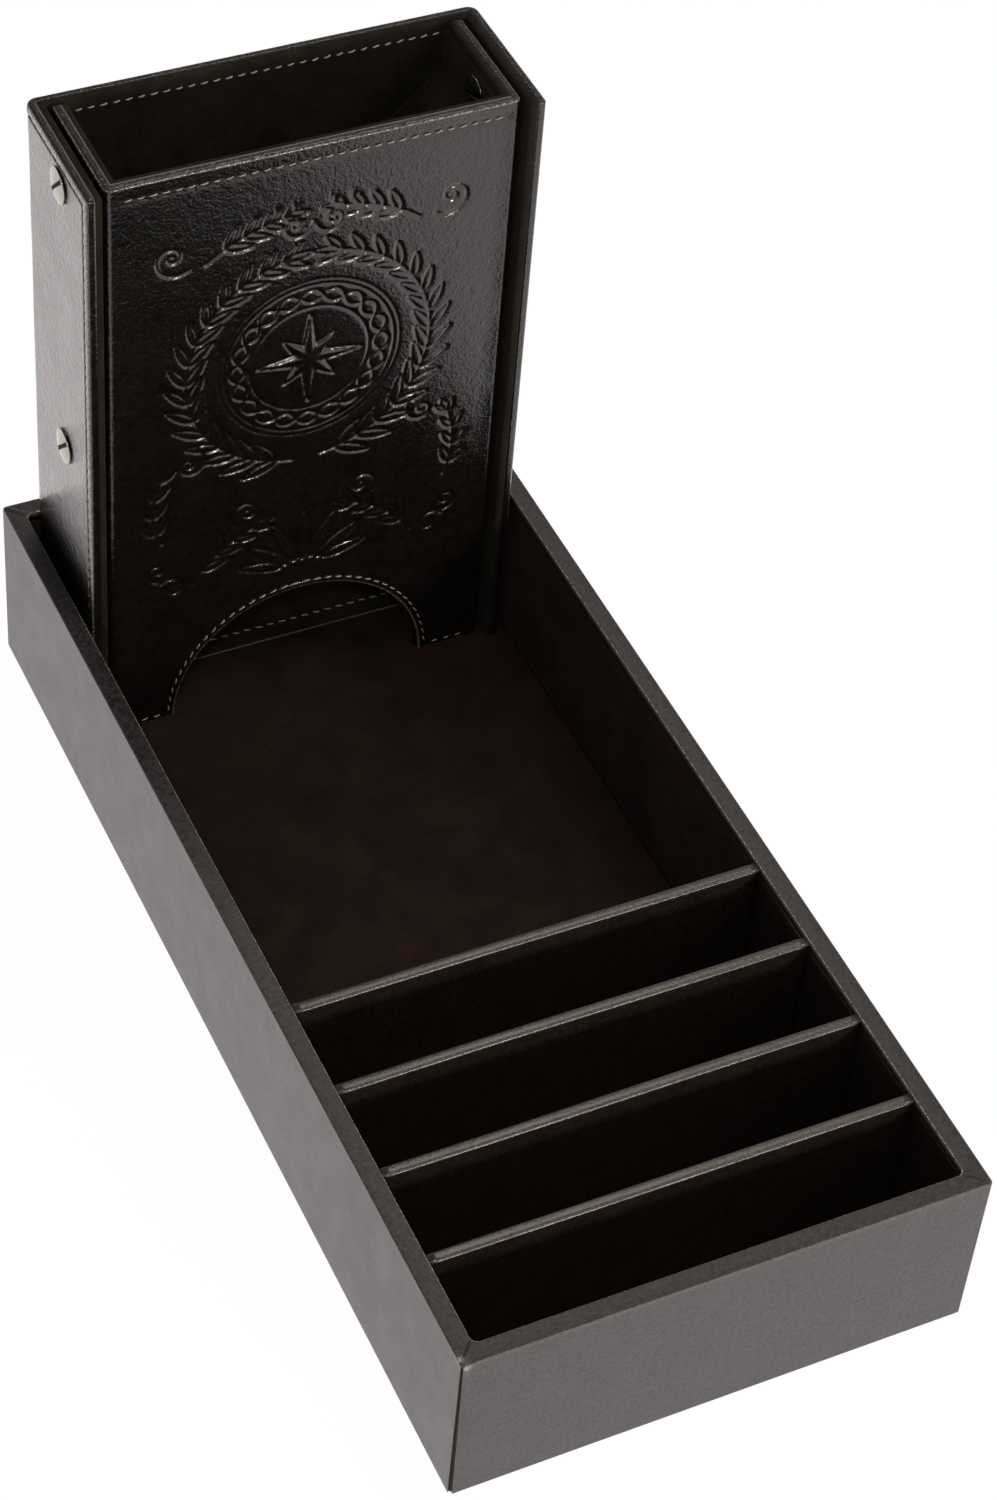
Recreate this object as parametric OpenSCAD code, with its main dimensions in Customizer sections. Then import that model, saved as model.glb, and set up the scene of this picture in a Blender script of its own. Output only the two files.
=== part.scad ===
// Dice storage chest: an open tray with four dice compartments across its front and a
// rolling area behind them, and a dice tower that stands at the back of the rolling area.
// The tray is fibreboard wrapped in leatherette. The tower is two wrapped three-sided
// shells, one inside the other, clamped together by binding posts.
// Frame: +X to the right, +Y to the back, +Z up. Origin: centre of the tray's underside.

/* [Tray] */
// Outside width of the tray, left to right
tray_w = 140; // [130:1:156]
// Outside height of the tray
tray_h = 53; // [50:1:64]
// Fibreboard thickness of the tray's walls
tray_board = 3.6; // [2.4:0.1:4.4]
// Fibreboard thickness of the tray's base
base_board = 2.4; // [2:0.1:4]
// Leatherette thickness on the tray
tray_skin = 0.8; // [0.6:0.1:1.2]
// Thickness of the lining in the tray
tray_lining = 0.8; // [0.5:0.1:1.2]
// Thickness of the sheet glued under the tray
underside = 0.4; // [0.3:0.1:0.8]
// How far the tray's cover turns down inside the rim
turn_in = 3; // [2:0.5:8]
// How far the tray's cover turns in under the base
turn_under = 10; // [6:1:16]
// Rounding of the rim's two long edges
rim_r = 0.8; // [0.5:0.1:1.2]
// Rounding of the tray's upright corners
tray_corner_r = 1; // [0.6:0.1:1.5]
// Width of the open seam where the cover's ends meet
seam_w = 0.7; // [0.4:0.1:1]

/* [Compartments] */
// Clear depth of one dice compartment, front to back
compartment = 24; // [22:0.5:30]
// Board thickness inside a divider
divider_board_t = 1.8; // [1.2:0.1:3]
// Leatherette thickness on a divider
divider_skin = 0.7; // [0.5:0.1:1]
// How far a divider's top lies below the rim
divider_drop = 0.6; // [0:0.1:4]
// Rounding of the top of a divider's board
divider_r = 0.6; // [0.3:0.1:0.6]

/* [Tower] */
// Height of the tower
tower_h = 188.8; // [180:0.2:200]
// Depth of the tower, front to back
tower_d = 44.6; // [41:0.1:48]
// Gap between the tower and the tray's lining on each side
tower_side_gap = 2.8; // [2.2:0.1:4]
// Gap between the tower and the tray's lining at the back
tower_back_gap = 0.3; // [0.2:0.1:1]
// End play of the tower when it lies in the rolling area
store_gap = 0.4; // [0.2:0.1:3]
// Leatherette thickness on both shells
shell_skin = 0.9; // [0.6:0.1:1]
// Board thickness in the outer shell
outer_board = 2.3; // [1.8:0.1:3]
// Velvet thickness in the outer shell
outer_velvet = 1.2; // [0.8:0.1:1.6]
// Board thickness in the inner shell
inner_board = 2.1; // [1.8:0.1:3]
// Velvet thickness in the inner shell
inner_velvet = 1; // [0.8:0.1:1.4]
// Width of leatherette turned onto each edge of a shell
edge_fold = 2.6; // [1.8:0.1:2.8]
// Rounding of the shells' edges
edge_r = 0.8; // [0.4:0.1:0.9]
// Gap between the two shells
shell_gap = 1.3; // [0.6:0.1:2]
// How far the front panel lies behind the outer shell's front edges
front_setback = 2.4; // [1:0.1:5]
// Gap between the inner shell's flaps and the outer shell's back
flap_gap = 0.4; // [0.2:0.1:1]
// Rounding of the outer shell's upright back corners
outer_corner_r = 3; // [1.5:0.1:4]
// Rounding of the inner shell's upright front corners
inner_corner_r = 2; // [1.5:0.1:3.5]
// Radius of the arch where the dice roll out
arch_r = 37.4; // [28:0.2:40]

/* [Ramps] */
// Board thickness in a ramp
ramp_board_t = 1.4; // [1:0.1:2]
// Velvet thickness on a ramp
ramp_skin = 0.8; // [0.6:0.1:1.2]
// How far each side ramp reaches past the middle of the tower
ramp_past = 4; // [0:0.5:10]
// How far each side ramp falls
ramp_drop = 49; // [35:1:54]
// Gap between a ramp and the tower's front and back panels
ramp_gap = 0.4; // [0.3:0.1:1]
// Width of velvet turned under a ramp's free edge
ramp_hem = 8; // [5:0.5:12]
// How far the exit ramp reaches forward from the back panel
exit_run = 20; // [16:0.5:22]
// Slope of the exit ramp
exit_angle = 45; // [38:1:48]
// Height of the exit ramp's glued tab
exit_tab = 10; // [8:0.5:14]
// Gap between the exit ramp and the posts' heads
exit_side_gap = 0.5; // [0.4:0.1:1.5]
// Gap between the exit ramp's hem and the tray's floor
exit_floor_gap = 0.3; // [0.2:0.1:0.6]

/* [Binding posts] */
// Diameter of the posts' heads
head_d = 10; // [8:0.2:11]
// Height of a head's straight rim
head_rim = 0.5; // [0.3:0.1:0.7]
// Height of a head's dome above its rim
head_dome = 0.8; // [0.5:0.1:0.9]
// Outside diameter of a post's barrel
barrel_d = 5; // [4.4:0.1:6]
// Diameter of a post's screw
screw_d = 3.6; // [3:0.1:3.6]
// Clearance between the screw and the barrel, each side
thread_gap = 0.05; // [0.03:0.01:0.1]
// Clearance between the barrel and its holes, each side
hole_gap = 0.15; // [0.1:0.05:0.4]
// Width of the screwdriver slot
slot_w = 1.2; // [0.8:0.1:1.6]
// Depth of the screwdriver slot
slot_depth = 0.7; // [0.5:0.1:0.8]
// Distance from the outer shell's front edge to the posts
post_back = 19.7; // [15:0.1:22]
// Distance from the tower's top to the top posts
post_drop = 8.9; // [8:0.1:12]
// Distance from the tower's bottom to the bottom posts
post_foot = 8.7; // [7.5:0.1:12]
// Gap between a post's head and the fold of the ramp that it holds
head_fold_gap = 0.5; // [0.3:0.1:2]
// Velvet of a ramp's tab that shows above the post's head
tab_margin = 1.5; // [0.5:0.1:1.8]

/* [Hidden] */
$fn = 64;
over = 1;
dividers = 4;
post_rows = 3;

// Tray
tray_wall = tray_skin + tray_board + tray_lining;
divider_t = divider_board_t + 2 * divider_skin;
divider_pitch = compartment + divider_t;
rolling_l = tower_h + store_gap;
tray_l = 2 * tray_wall + dividers * divider_pitch + rolling_l;
base_top = underside + base_board;
floor_z = base_top + tray_lining;
inner_half = tray_w / 2 - tray_wall;
front_in = -tray_l / 2 + tray_wall;
back_in = tray_l / 2 - tray_wall;
rolling_front = front_in + dividers * divider_pitch;
divider_top = tray_h - divider_drop;
board_top = tray_h - tray_skin;
lining_top = tray_h - turn_in;

// Tower
outer_half = inner_half - tower_side_gap;
outer_wall = shell_skin + outer_board + outer_velvet;
outer_back = back_in - tower_back_gap;
outer_front = outer_back - tower_d;
inner_wall = shell_skin + inner_board + inner_velvet;
shell_half = outer_half - outer_wall - shell_gap;
shell_front = outer_front + front_setback;
shell_d = outer_back - outer_wall - flap_gap - shell_front;
chute_half = shell_half - inner_wall;
chute_front = shell_front + inner_wall;
chute_back = outer_back - outer_wall;

// Posts and ramps
head_h = head_rim + head_dome;
post_y = outer_front + post_back;
post_top = floor_z + tower_h - post_drop;
post_pitch = (tower_h - post_drop - post_foot) / (post_rows - 1);
ramp_t = ramp_board_t + 2 * ramp_skin;
ramp_run = chute_half + ramp_past;
ramp_angle = atan(ramp_drop / ramp_run);
ramp_len = ramp_run / cos(ramp_angle);
ramp_tab_h = head_d + head_fold_gap + tab_margin;
upper_fold = post_z(0) - head_d / 2 - head_fold_gap;
middle_fold = post_z(1) - head_d / 2 - head_fold_gap;
exit_half = chute_half - head_h - exit_side_gap;
exit_reach = (exit_run - ramp_skin - ramp_t / 2 * (1 - sin(exit_angle))) / cos(exit_angle);
exit_len = exit_reach + ramp_t / 2;
exit_fold = floor_z + exit_floor_gap + ramp_t / 2 * (1 + cos(exit_angle))
    + exit_reach * sin(exit_angle);

// Colours
leatherette = [0.17, 0.165, 0.16];
velvet = [0.07, 0.06, 0.055];
fibreboard = [0.62, 0.5, 0.36];
greyboard = [0.55, 0.53, 0.5];
nickel = [0.72, 0.72, 0.7];
backing = [0.12, 0.12, 0.12];

// Height of a row of posts, counted down from the top
function post_z(row) = post_top - row * post_pitch;
// The right side's top post and the left side's middle post also hold a ramp's tab
function holds_ramp(side, row) = (side == 1 && row == 0) || (side == -1 && row == 1);
// Inner face that a post's screw head seats on
function seat_x(side, row) = chute_half - (holds_ramp(side, row) ? ramp_skin : 0);

// ---------------------------------------------------------------- outlines

// Rectangle with four round corners
module rounded_rect(x0, y0, x1, y1, r) {
    translate([x0 + r, y0])
        square([x1 - x0 - 2 * r, y1 - y0]);
    translate([x0, y0 + r])
        square([x1 - x0, y1 - y0 - 2 * r]);
    for (x = [x0 + r, x1 - r], y = [y0 + r, y1 - r])
        translate([x, y])
            circle(r);
}

// Upright strip with a rounded top edge on both sides
module round_topped(x0, y0, x1, y1, r) {
    translate([x0, y0])
        square([x1 - x0, y1 - y0 - r]);
    translate([x0 + r, y0])
        square([x1 - x0 - 2 * r, y1 - y0]);
    for (x = [x0 + r, x1 - r])
        translate([x, y1 - r])
            circle(r);
}

// Plan of a three-sided shell as a filled outline: the closed side is at y0 and its two
// corners have radius r; the open end is at y1
module shell_plan(half, y0, y1, r) {
    if (r > 0) {
        translate([-half + r, y0])
            square([2 * (half - r), y1 - y0]);
        translate([-half, y0 + r])
            square([2 * half, y1 - y0 - r]);
        for (side = [-1, 1])
            translate([side * (half - r), y0 + r])
                circle(r);
    } else {
        translate([-half, y0])
            square([2 * half, y1 - y0]);
    }
}

// Extrudes a section drawn in (x, z) along y, from y0 to y1
module along_y(y0, y1) {
    translate([0, y1, 0])
        rotate([90, 0, 0])
            linear_extrude(y1 - y0)
                children();
}

// Extrudes a section drawn in (y, z) along x, from x0 to x1
module along_x(x0, x1) {
    rotate([90, 0, 90])
        translate([0, 0, x0])
            linear_extrude(x1 - x0)
                children();
}

// ---------------------------------------------------------------- tray

// Box set in from the tray's outer faces, from height z0 to z1
module inset_box(inset, z0, z1) {
    translate([-tray_w / 2 + inset, -tray_l / 2 + inset, z0])
        cube([tray_w - 2 * inset, tray_l - 2 * inset, z1 - z0]);
}

// The tray's outside as a block, with round upright corners and a round rim
module tray_block() {
    intersection() {
        along_x(-tray_w / 2 - over, tray_w / 2 + over)
            round_topped(-tray_l / 2, 0, tray_l / 2, tray_h, rim_r);
        along_y(-tray_l / 2 - over, tray_l / 2 + over)
            round_topped(-tray_w / 2, 0, tray_w / 2, tray_h, rim_r);
        linear_extrude(tray_h + over)
            rounded_rect(-tray_w / 2, -tray_l / 2, tray_w / 2, tray_l / 2, tray_corner_r);
    }
}

// Section of the opening between two facing rims, whose edges are round
module rim_gap(half) {
    translate([-half, lining_top - over])
        square([2 * half, turn_in + 2 * over]);
    difference() {
        translate([-half - rim_r, tray_h - rim_r])
            square([2 * (half + rim_r), rim_r + over]);
        for (side = [-1, 1])
            translate([side * (half + rim_r), tray_h - rim_r])
                circle(rim_r);
    }
}

module tray_cover() {
    color(leatherette)
        difference() {
            tray_block();
            // The opening inside the rim
            intersection() {
                along_x(-tray_w / 2, tray_w / 2)
                    rim_gap(back_in);
                along_y(-tray_l / 2, tray_l / 2)
                    rim_gap(inner_half);
            }
            // The boards and linings, up to the strip turned in
            inset_box(tray_skin, underside, lining_top);
            // The boards beside that strip
            difference() {
                inset_box(tray_skin, lining_top - over, board_top);
                inset_box(tray_skin + tray_board, 0, tray_h);
            }
            // Between the strips turned under
            inset_box(turn_under, -over, underside + over);
            // The seam: a groove down the front left corner, up to the rim
            translate([-tray_w / 2, -tray_l / 2, -over])
                rotate([0, 0, 45])
                    translate([0, -seam_w / 2, 0])
                        cube([tray_skin, seam_w, tray_h - rim_r + over]);
        }
}

module tray_underside() {
    color(backing)
        inset_box(turn_under, 0, underside);
}

module tray_base_board() {
    color(fibreboard)
        inset_box(tray_skin + tray_board, underside, base_top);
}

// A long wall board: side is -1 on the left and 1 on the right
module tray_side_board(side) {
    color(fibreboard)
        translate([side * (tray_w / 2 - tray_skin - tray_board / 2) - tray_board / 2,
                   -tray_l / 2 + tray_skin, underside])
            cube([tray_board, tray_l - 2 * tray_skin, board_top - underside]);
}

// A short wall board between the long ones: end is -1 at the front and 1 at the back
module tray_end_board(end) {
    inset = tray_skin + tray_board;
    color(fibreboard)
        translate([-tray_w / 2 + inset,
                   end * (tray_l / 2 - tray_skin - tray_board / 2) - tray_board / 2, underside])
            cube([tray_w - 2 * inset, tray_board, board_top - underside]);
}

// Lining of the three walls round a stretch of the tray, from y0 to y1; the fourth side,
// where the dividers stand, is open
module wall_lining(y0, y1, open_y0, open_y1) {
    color(velvet)
        translate([0, 0, base_top])
            linear_extrude(lining_top - base_top)
                difference() {
                    translate([-inner_half - tray_lining, y0])
                        square([2 * (inner_half + tray_lining), y1 - y0]);
                    translate([-inner_half, open_y0])
                        square([2 * inner_half, open_y1 - open_y0]);
                }
}

module rolling_wall_lining() {
    wall_lining(rolling_front, back_in + tray_lining, rolling_front - over, back_in);
}

module compartment_wall_lining() {
    wall_lining(front_in - tray_lining, rolling_front, front_in, rolling_front + over);
}

// Floor lining between two walls or dividers
module floor_lining(y0, y1) {
    color(velvet)
        translate([-inner_half, y0, base_top])
            cube([2 * inner_half, y1 - y0, tray_lining]);
}

module rolling_floor_lining() {
    floor_lining(rolling_front, back_in);
}

// Front face of a divider, counted from the front
function divider_y(i) = front_in + i * divider_pitch - divider_t;

module compartment_floor_lining(i) {
    floor_lining(divider_y(i) - compartment, divider_y(i));
}

module divider_board(i) {
    y0 = divider_y(i) + divider_skin;
    color(greyboard)
        along_x(-inner_half, inner_half)
            round_topped(y0, base_top, y0 + divider_board_t, divider_top - divider_skin,
                         divider_r);
}

module divider_cover(i) {
    y0 = divider_y(i);
    color(leatherette)
        along_x(-inner_half, inner_half)
            difference() {
                round_topped(y0, base_top, y0 + divider_t, divider_top,
                             divider_r + divider_skin);
                round_topped(y0 + divider_skin, base_top - over,
                             y0 + divider_skin + divider_board_t, divider_top - divider_skin,
                             divider_r);
            }
}

// ---------------------------------------------------------------- tower shells

// Every shell is drawn with its closed side at y = 0, its open end at y = depth and its
// bottom at z = 0, and is then turned into its place.

module place_outer() {
    translate([0, outer_back, floor_z])
        rotate([0, 0, 180])
            children();
}

module place_inner() {
    translate([0, shell_front, floor_z])
        children();
}

// Leatherette on a shell: the outside, turned over every edge
module shell_cover(half, depth, r) {
    difference() {
        intersection() {
            linear_extrude(tower_h)
                shell_plan(half, 0, depth, r);
            along_y(-over, depth + over)
                rounded_rect(-half, 0, half, tower_h, edge_r);
            along_x(-half - over, half + over)
                rounded_rect(0, 0, depth, tower_h, edge_r);
        }
        translate([0, 0, shell_skin])
            linear_extrude(tower_h - 2 * shell_skin)
                shell_plan(half - shell_skin, shell_skin, depth - shell_skin, r - shell_skin);
        translate([0, 0, -over])
            linear_extrude(tower_h + 2 * over)
                shell_plan(half - edge_fold, edge_fold, depth + over, 0);
    }
}

// Velvet in a shell: the inside, turned out over every edge to meet the leatherette
module shell_lining(half, depth, wall, velvet_t) {
    difference() {
        linear_extrude(tower_h)
            shell_plan(half - edge_fold, edge_fold, depth, 0);
        translate([0, 0, -over])
            linear_extrude(tower_h + 2 * over)
                shell_plan(half - wall, wall, depth + over, 0);
        translate([0, 0, shell_skin])
            linear_extrude(tower_h - 2 * shell_skin)
                difference() {
                    shell_plan(half, 0, depth - shell_skin, 0);
                    shell_plan(half - wall + velvet_t, wall - velvet_t, depth, 0);
                }
    }
}

// Board in a shell's side: side is -1 or 1 along x
module shell_side_board(half, depth, r, board, side) {
    x0 = side > 0 ? half - shell_skin - board : -half + shell_skin;
    intersection() {
        translate([0, 0, shell_skin])
            linear_extrude(tower_h - 2 * shell_skin)
                shell_plan(half - shell_skin, shell_skin, depth - shell_skin, r - shell_skin);
        translate([x0, 0, 0])
            cube([board, depth, tower_h]);
    }
}

// Board in a shell's closed side, between the side boards
module shell_face_board(half, board) {
    board_half = half - shell_skin - board;
    translate([-board_half, shell_skin, shell_skin])
        cube([2 * board_half, board, tower_h - 2 * shell_skin]);
}

// Holes for all the posts' barrels, through both sides of the tower
module post_holes() {
    for (row = [0:post_rows - 1])
        translate([-outer_half - over, post_y, post_z(row)])
            rotate([0, 90, 0])
                cylinder(d = barrel_d + 2 * hole_gap, h = 2 * (outer_half + over));
}

module outer_back_board() {
    color(greyboard)
        place_outer()
            shell_face_board(outer_half, outer_board);
}

module outer_side_board(side) {
    color(greyboard)
        difference() {
            place_outer()
                shell_side_board(outer_half, tower_d, outer_corner_r, outer_board, -side);
            post_holes();
        }
}

module outer_cover() {
    color(leatherette)
        difference() {
            place_outer()
                shell_cover(outer_half, tower_d, outer_corner_r);
            post_holes();
        }
}

module outer_lining() {
    color(velvet)
        difference() {
            place_outer()
                shell_lining(outer_half, tower_d, outer_wall, outer_velvet);
            post_holes();
        }
}

// The arch as a cut through the front panel
module arch_cut(r) {
    translate([0, shell_front - over, floor_z])
        rotate([-90, 0, 0])
            cylinder(r = r, h = inner_wall + 2 * over, $fn = 128);
}

// A ring round the arch, one skin thick, from depth y0 to y1 in the front panel;
// round rounds its front inner edge
module arch_lip(y0, y1, round) {
    translate([0, shell_front, floor_z])
        rotate([90, 0, 0])
            rotate_extrude(angle = 180, $fn = 128)
                intersection() {
                    translate([arch_r, -y1])
                        square([shell_skin, y1 - y0]);
                    union() {
                        translate([arch_r + round, -y1])
                            square([shell_skin, y1 - y0]);
                        translate([arch_r, -y1])
                            square([shell_skin, y1 - y0 - round]);
                        if (round > 0)
                            translate([arch_r + round, -y0 - round])
                                circle(round);
                    }
                }
}

module inner_front_board() {
    color(greyboard)
        difference() {
            place_inner()
                shell_face_board(shell_half, inner_board);
            arch_cut(arch_r + shell_skin);
        }
}

module inner_side_board(side) {
    color(greyboard)
        difference() {
            place_inner()
                shell_side_board(shell_half, shell_d, inner_corner_r, inner_board, side);
            post_holes();
        }
}

module inner_cover() {
    color(leatherette)
        difference() {
            union() {
                difference() {
                    place_inner()
                        shell_cover(shell_half, shell_d, inner_corner_r);
                    arch_cut(arch_r + shell_skin);
                }
                arch_lip(0, edge_fold, edge_r);
            }
            post_holes();
        }
}

module inner_lining() {
    color(velvet)
        difference() {
            union() {
                difference() {
                    place_inner()
                        shell_lining(shell_half, shell_d, inner_wall, inner_velvet);
                    arch_cut(arch_r + shell_skin);
                }
                arch_lip(edge_fold, inner_wall, 0);
            }
            post_holes();
        }
}

// ---------------------------------------------------------------- ramps

// Section of a ramp's board: it runs along +x from the fold and its thickness goes to +y
module ramp_board_section(len) {
    translate([-ramp_t * 2, ramp_skin])
        square([len - ramp_t / 2 + ramp_t * 2, ramp_board_t]);
    translate([len - ramp_t / 2, ramp_t / 2])
        circle(ramp_board_t / 2);
}

// Section of a ramp's velvet: the upper face, the nose and the hem turned under
module ramp_facing_section(len) {
    difference() {
        union() {
            translate([-ramp_t * 2, 0])
                square([len - ramp_t / 2 + ramp_t * 2, ramp_t]);
            translate([len - ramp_t / 2, ramp_t / 2])
                circle(ramp_t / 2);
        }
        ramp_board_section(len);
        translate([-ramp_t * 2 - over, ramp_skin])
            square([len - ramp_hem + ramp_t * 2 + over, ramp_t]);
    }
}

// Puts a ramp section against the wall at x = wall_x, folded at height fold_z and falling
// towards -x, with nothing past the wall
module against_wall(wall_x, fold_z, angle) {
    intersection() {
        translate([wall_x - ramp_skin, fold_z])
            rotate(180 + angle)
                children();
        translate([wall_x - 2 * outer_half, 0])
            square([2 * outer_half, floor_z + tower_h]);
    }
}

// The velvet that stands up the wall from the fold
module ramp_tab(wall_x, fold_z, height) {
    translate([wall_x - ramp_skin, fold_z])
        square([ramp_skin, height]);
}

module side_ramp_board(fold_z) {
    along_y(chute_front + ramp_gap, chute_back - ramp_gap)
        against_wall(chute_half, fold_z, ramp_angle)
            ramp_board_section(ramp_len);
}

module side_ramp_facing(fold_z) {
    along_y(chute_front + ramp_gap, chute_back - ramp_gap) {
        against_wall(chute_half, fold_z, ramp_angle)
            ramp_facing_section(ramp_len);
        ramp_tab(chute_half, fold_z, ramp_tab_h);
    }
}

module upper_ramp_board() {
    color(greyboard)
        side_ramp_board(upper_fold);
}

module upper_ramp_facing() {
    color(velvet)
        difference() {
            side_ramp_facing(upper_fold);
            post_holes();
        }
}

module middle_ramp_board() {
    color(greyboard)
        mirror([1, 0, 0])
            side_ramp_board(middle_fold);
}

module middle_ramp_facing() {
    color(velvet)
        difference() {
            mirror([1, 0, 0])
                side_ramp_facing(middle_fold);
            post_holes();
        }
}

module exit_ramp_board() {
    color(greyboard)
        along_x(-exit_half, exit_half)
            against_wall(chute_back, exit_fold, exit_angle)
                ramp_board_section(exit_len);
}

module exit_ramp_facing() {
    color(velvet)
        along_x(-exit_half, exit_half) {
            against_wall(chute_back, exit_fold, exit_angle)
                ramp_facing_section(exit_len);
            ramp_tab(chute_back, exit_fold, exit_tab);
        }
}

// ---------------------------------------------------------------- binding posts

// Domed and slotted head that stands on z = 0
module post_head(slot_angle) {
    dome_r = (pow(head_d / 2, 2) + pow(head_dome, 2)) / (2 * head_dome);
    difference() {
        intersection() {
            cylinder(d = head_d, h = head_h);
            translate([0, 0, head_h - dome_r])
                sphere(dome_r, $fn = 128);
        }
        rotate([0, 0, slot_angle])
            translate([-head_d, -slot_w / 2, head_h - slot_depth])
                cube([2 * head_d, slot_w, head_h]);
    }
}

// Barrel with its head on the outside, its tube pointing to -z, for a stack of len
module post_barrel(len) {
    post_head(35);
    difference() {
        translate([0, 0, -len])
            cylinder(d = barrel_d, h = len);
        translate([0, 0, -len - over])
            cylinder(d = screw_d + 2 * thread_gap, h = len);
    }
}

// Screw with its head on the inside, its shank pointing to -z, for a stack of len
module post_screw(len) {
    post_head(110);
    translate([0, 0, -len + 2 * over])
        cylinder(d = screw_d, h = len - 2 * over);
}

module post_barrels() {
    color(nickel)
        for (side = [-1, 1], row = [0:post_rows - 1])
            translate([side * outer_half, post_y, post_z(row)])
                rotate([0, side * 90, 0])
                    post_barrel(outer_half - seat_x(side, row));
}

module post_screws() {
    color(nickel)
        for (side = [-1, 1], row = [0:post_rows - 1])
            translate([side * seat_x(side, row), post_y, post_z(row)])
                rotate([0, -side * 90, 0])
                    post_screw(outer_half - seat_x(side, row));
}

// ---------------------------------------------------------------- nodes

tray_base_board();
tray_side_board(-1);  // tray_left_board
tray_side_board(1);  // tray_right_board
tray_end_board(-1);  // tray_front_board
tray_end_board(1);  // tray_back_board
tray_cover();
tray_underside();
rolling_floor_lining();
rolling_wall_lining();
compartment_wall_lining();
for (i = [1:dividers]) {
    divider_board(i);
    divider_cover(i);
    compartment_floor_lining(i);
}
outer_back_board();
outer_side_board(-1);  // outer_left_board
outer_side_board(1);  // outer_right_board
outer_cover();
outer_lining();
inner_front_board();
inner_side_board(-1);  // inner_left_board
inner_side_board(1);  // inner_right_board
inner_cover();
inner_lining();
upper_ramp_board();
upper_ramp_facing();
middle_ramp_board();
middle_ramp_facing();
exit_ramp_board();
exit_ramp_facing();
post_barrels();
post_screws();
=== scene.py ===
# %% [markdown]
# # A dice chest, dressed
#
# The object is an open tray with four compartments and a rolling area, and a dice tower that
# stands in the rolling area. Everything that shows is sheet material wrapped round board:
# smooth leatherette on the tray, grained leatherette on the tower, velvet where dice roll.
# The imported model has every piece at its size. This lesson gives each wrapped piece the soft
# edges, folds, stitching and finish that such wrapping has, and leaves all sizes alone.

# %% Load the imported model
import math

import bmesh
import bpy
import numpy as np
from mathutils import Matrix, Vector


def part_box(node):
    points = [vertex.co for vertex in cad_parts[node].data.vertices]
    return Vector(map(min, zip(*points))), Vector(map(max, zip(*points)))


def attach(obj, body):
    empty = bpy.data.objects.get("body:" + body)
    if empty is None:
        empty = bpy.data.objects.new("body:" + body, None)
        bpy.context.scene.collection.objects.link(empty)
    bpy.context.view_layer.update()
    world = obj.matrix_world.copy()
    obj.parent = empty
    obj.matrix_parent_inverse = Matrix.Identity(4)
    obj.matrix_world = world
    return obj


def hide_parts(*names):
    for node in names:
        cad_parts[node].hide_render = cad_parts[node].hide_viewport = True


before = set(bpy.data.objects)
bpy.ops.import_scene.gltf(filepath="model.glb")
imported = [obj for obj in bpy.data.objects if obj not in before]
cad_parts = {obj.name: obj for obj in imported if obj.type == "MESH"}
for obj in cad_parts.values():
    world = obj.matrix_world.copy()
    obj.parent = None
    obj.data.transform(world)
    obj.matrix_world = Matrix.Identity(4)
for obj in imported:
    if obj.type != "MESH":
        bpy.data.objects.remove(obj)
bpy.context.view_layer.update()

print("nodes in the frame:", len(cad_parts))

# %% [markdown]
# ## From numbers to meshes
#
# Every new piece is a surface worked out with numpy: a grid of points, computed as whole
# arrays. Modelling by hand or with modifiers would also do, but wrapped sheet has the same
# few rules everywhere (a radius at each edge, a strip turned over), so formulas give the
# pieces edges that meet exactly. Shapes are in millimetres, and one function turns them
# into a mesh in metres.

# %% Vertex numbers and faces
# A millimetre in Blender's metres, and how close points have to be to become one
MM = 0.001
WELD = 0.002 * MM
rng = np.random.default_rng(7)


def span(node):
    """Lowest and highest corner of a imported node, in millimetres."""
    return np.array([list(corner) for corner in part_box(node)]) / MM


def quads(index):
    """Faces of a grid of vertex numbers."""
    return np.stack([index[:-1, :-1], index[:-1, 1:], index[1:, 1:], index[1:, :-1]],
                    -1).reshape(-1, 4)


def strip(one, other):
    """Faces between two rows of vertex numbers."""
    return np.stack([one[:-1], one[1:], other[1:], other[:-1]], -1)


def band(one, other):
    """Faces between two closed rows of vertex numbers."""
    return strip(np.append(one, one[0]), np.append(other, other[0]))


def numbered(*shape, start=0):
    """Vertex numbers laid out as a grid."""
    return np.arange(start, start + math.prod(shape)).reshape(shape)


print("a grid of 3 by 3 points has", len(quads(numbered(3, 3))), "faces")


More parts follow.
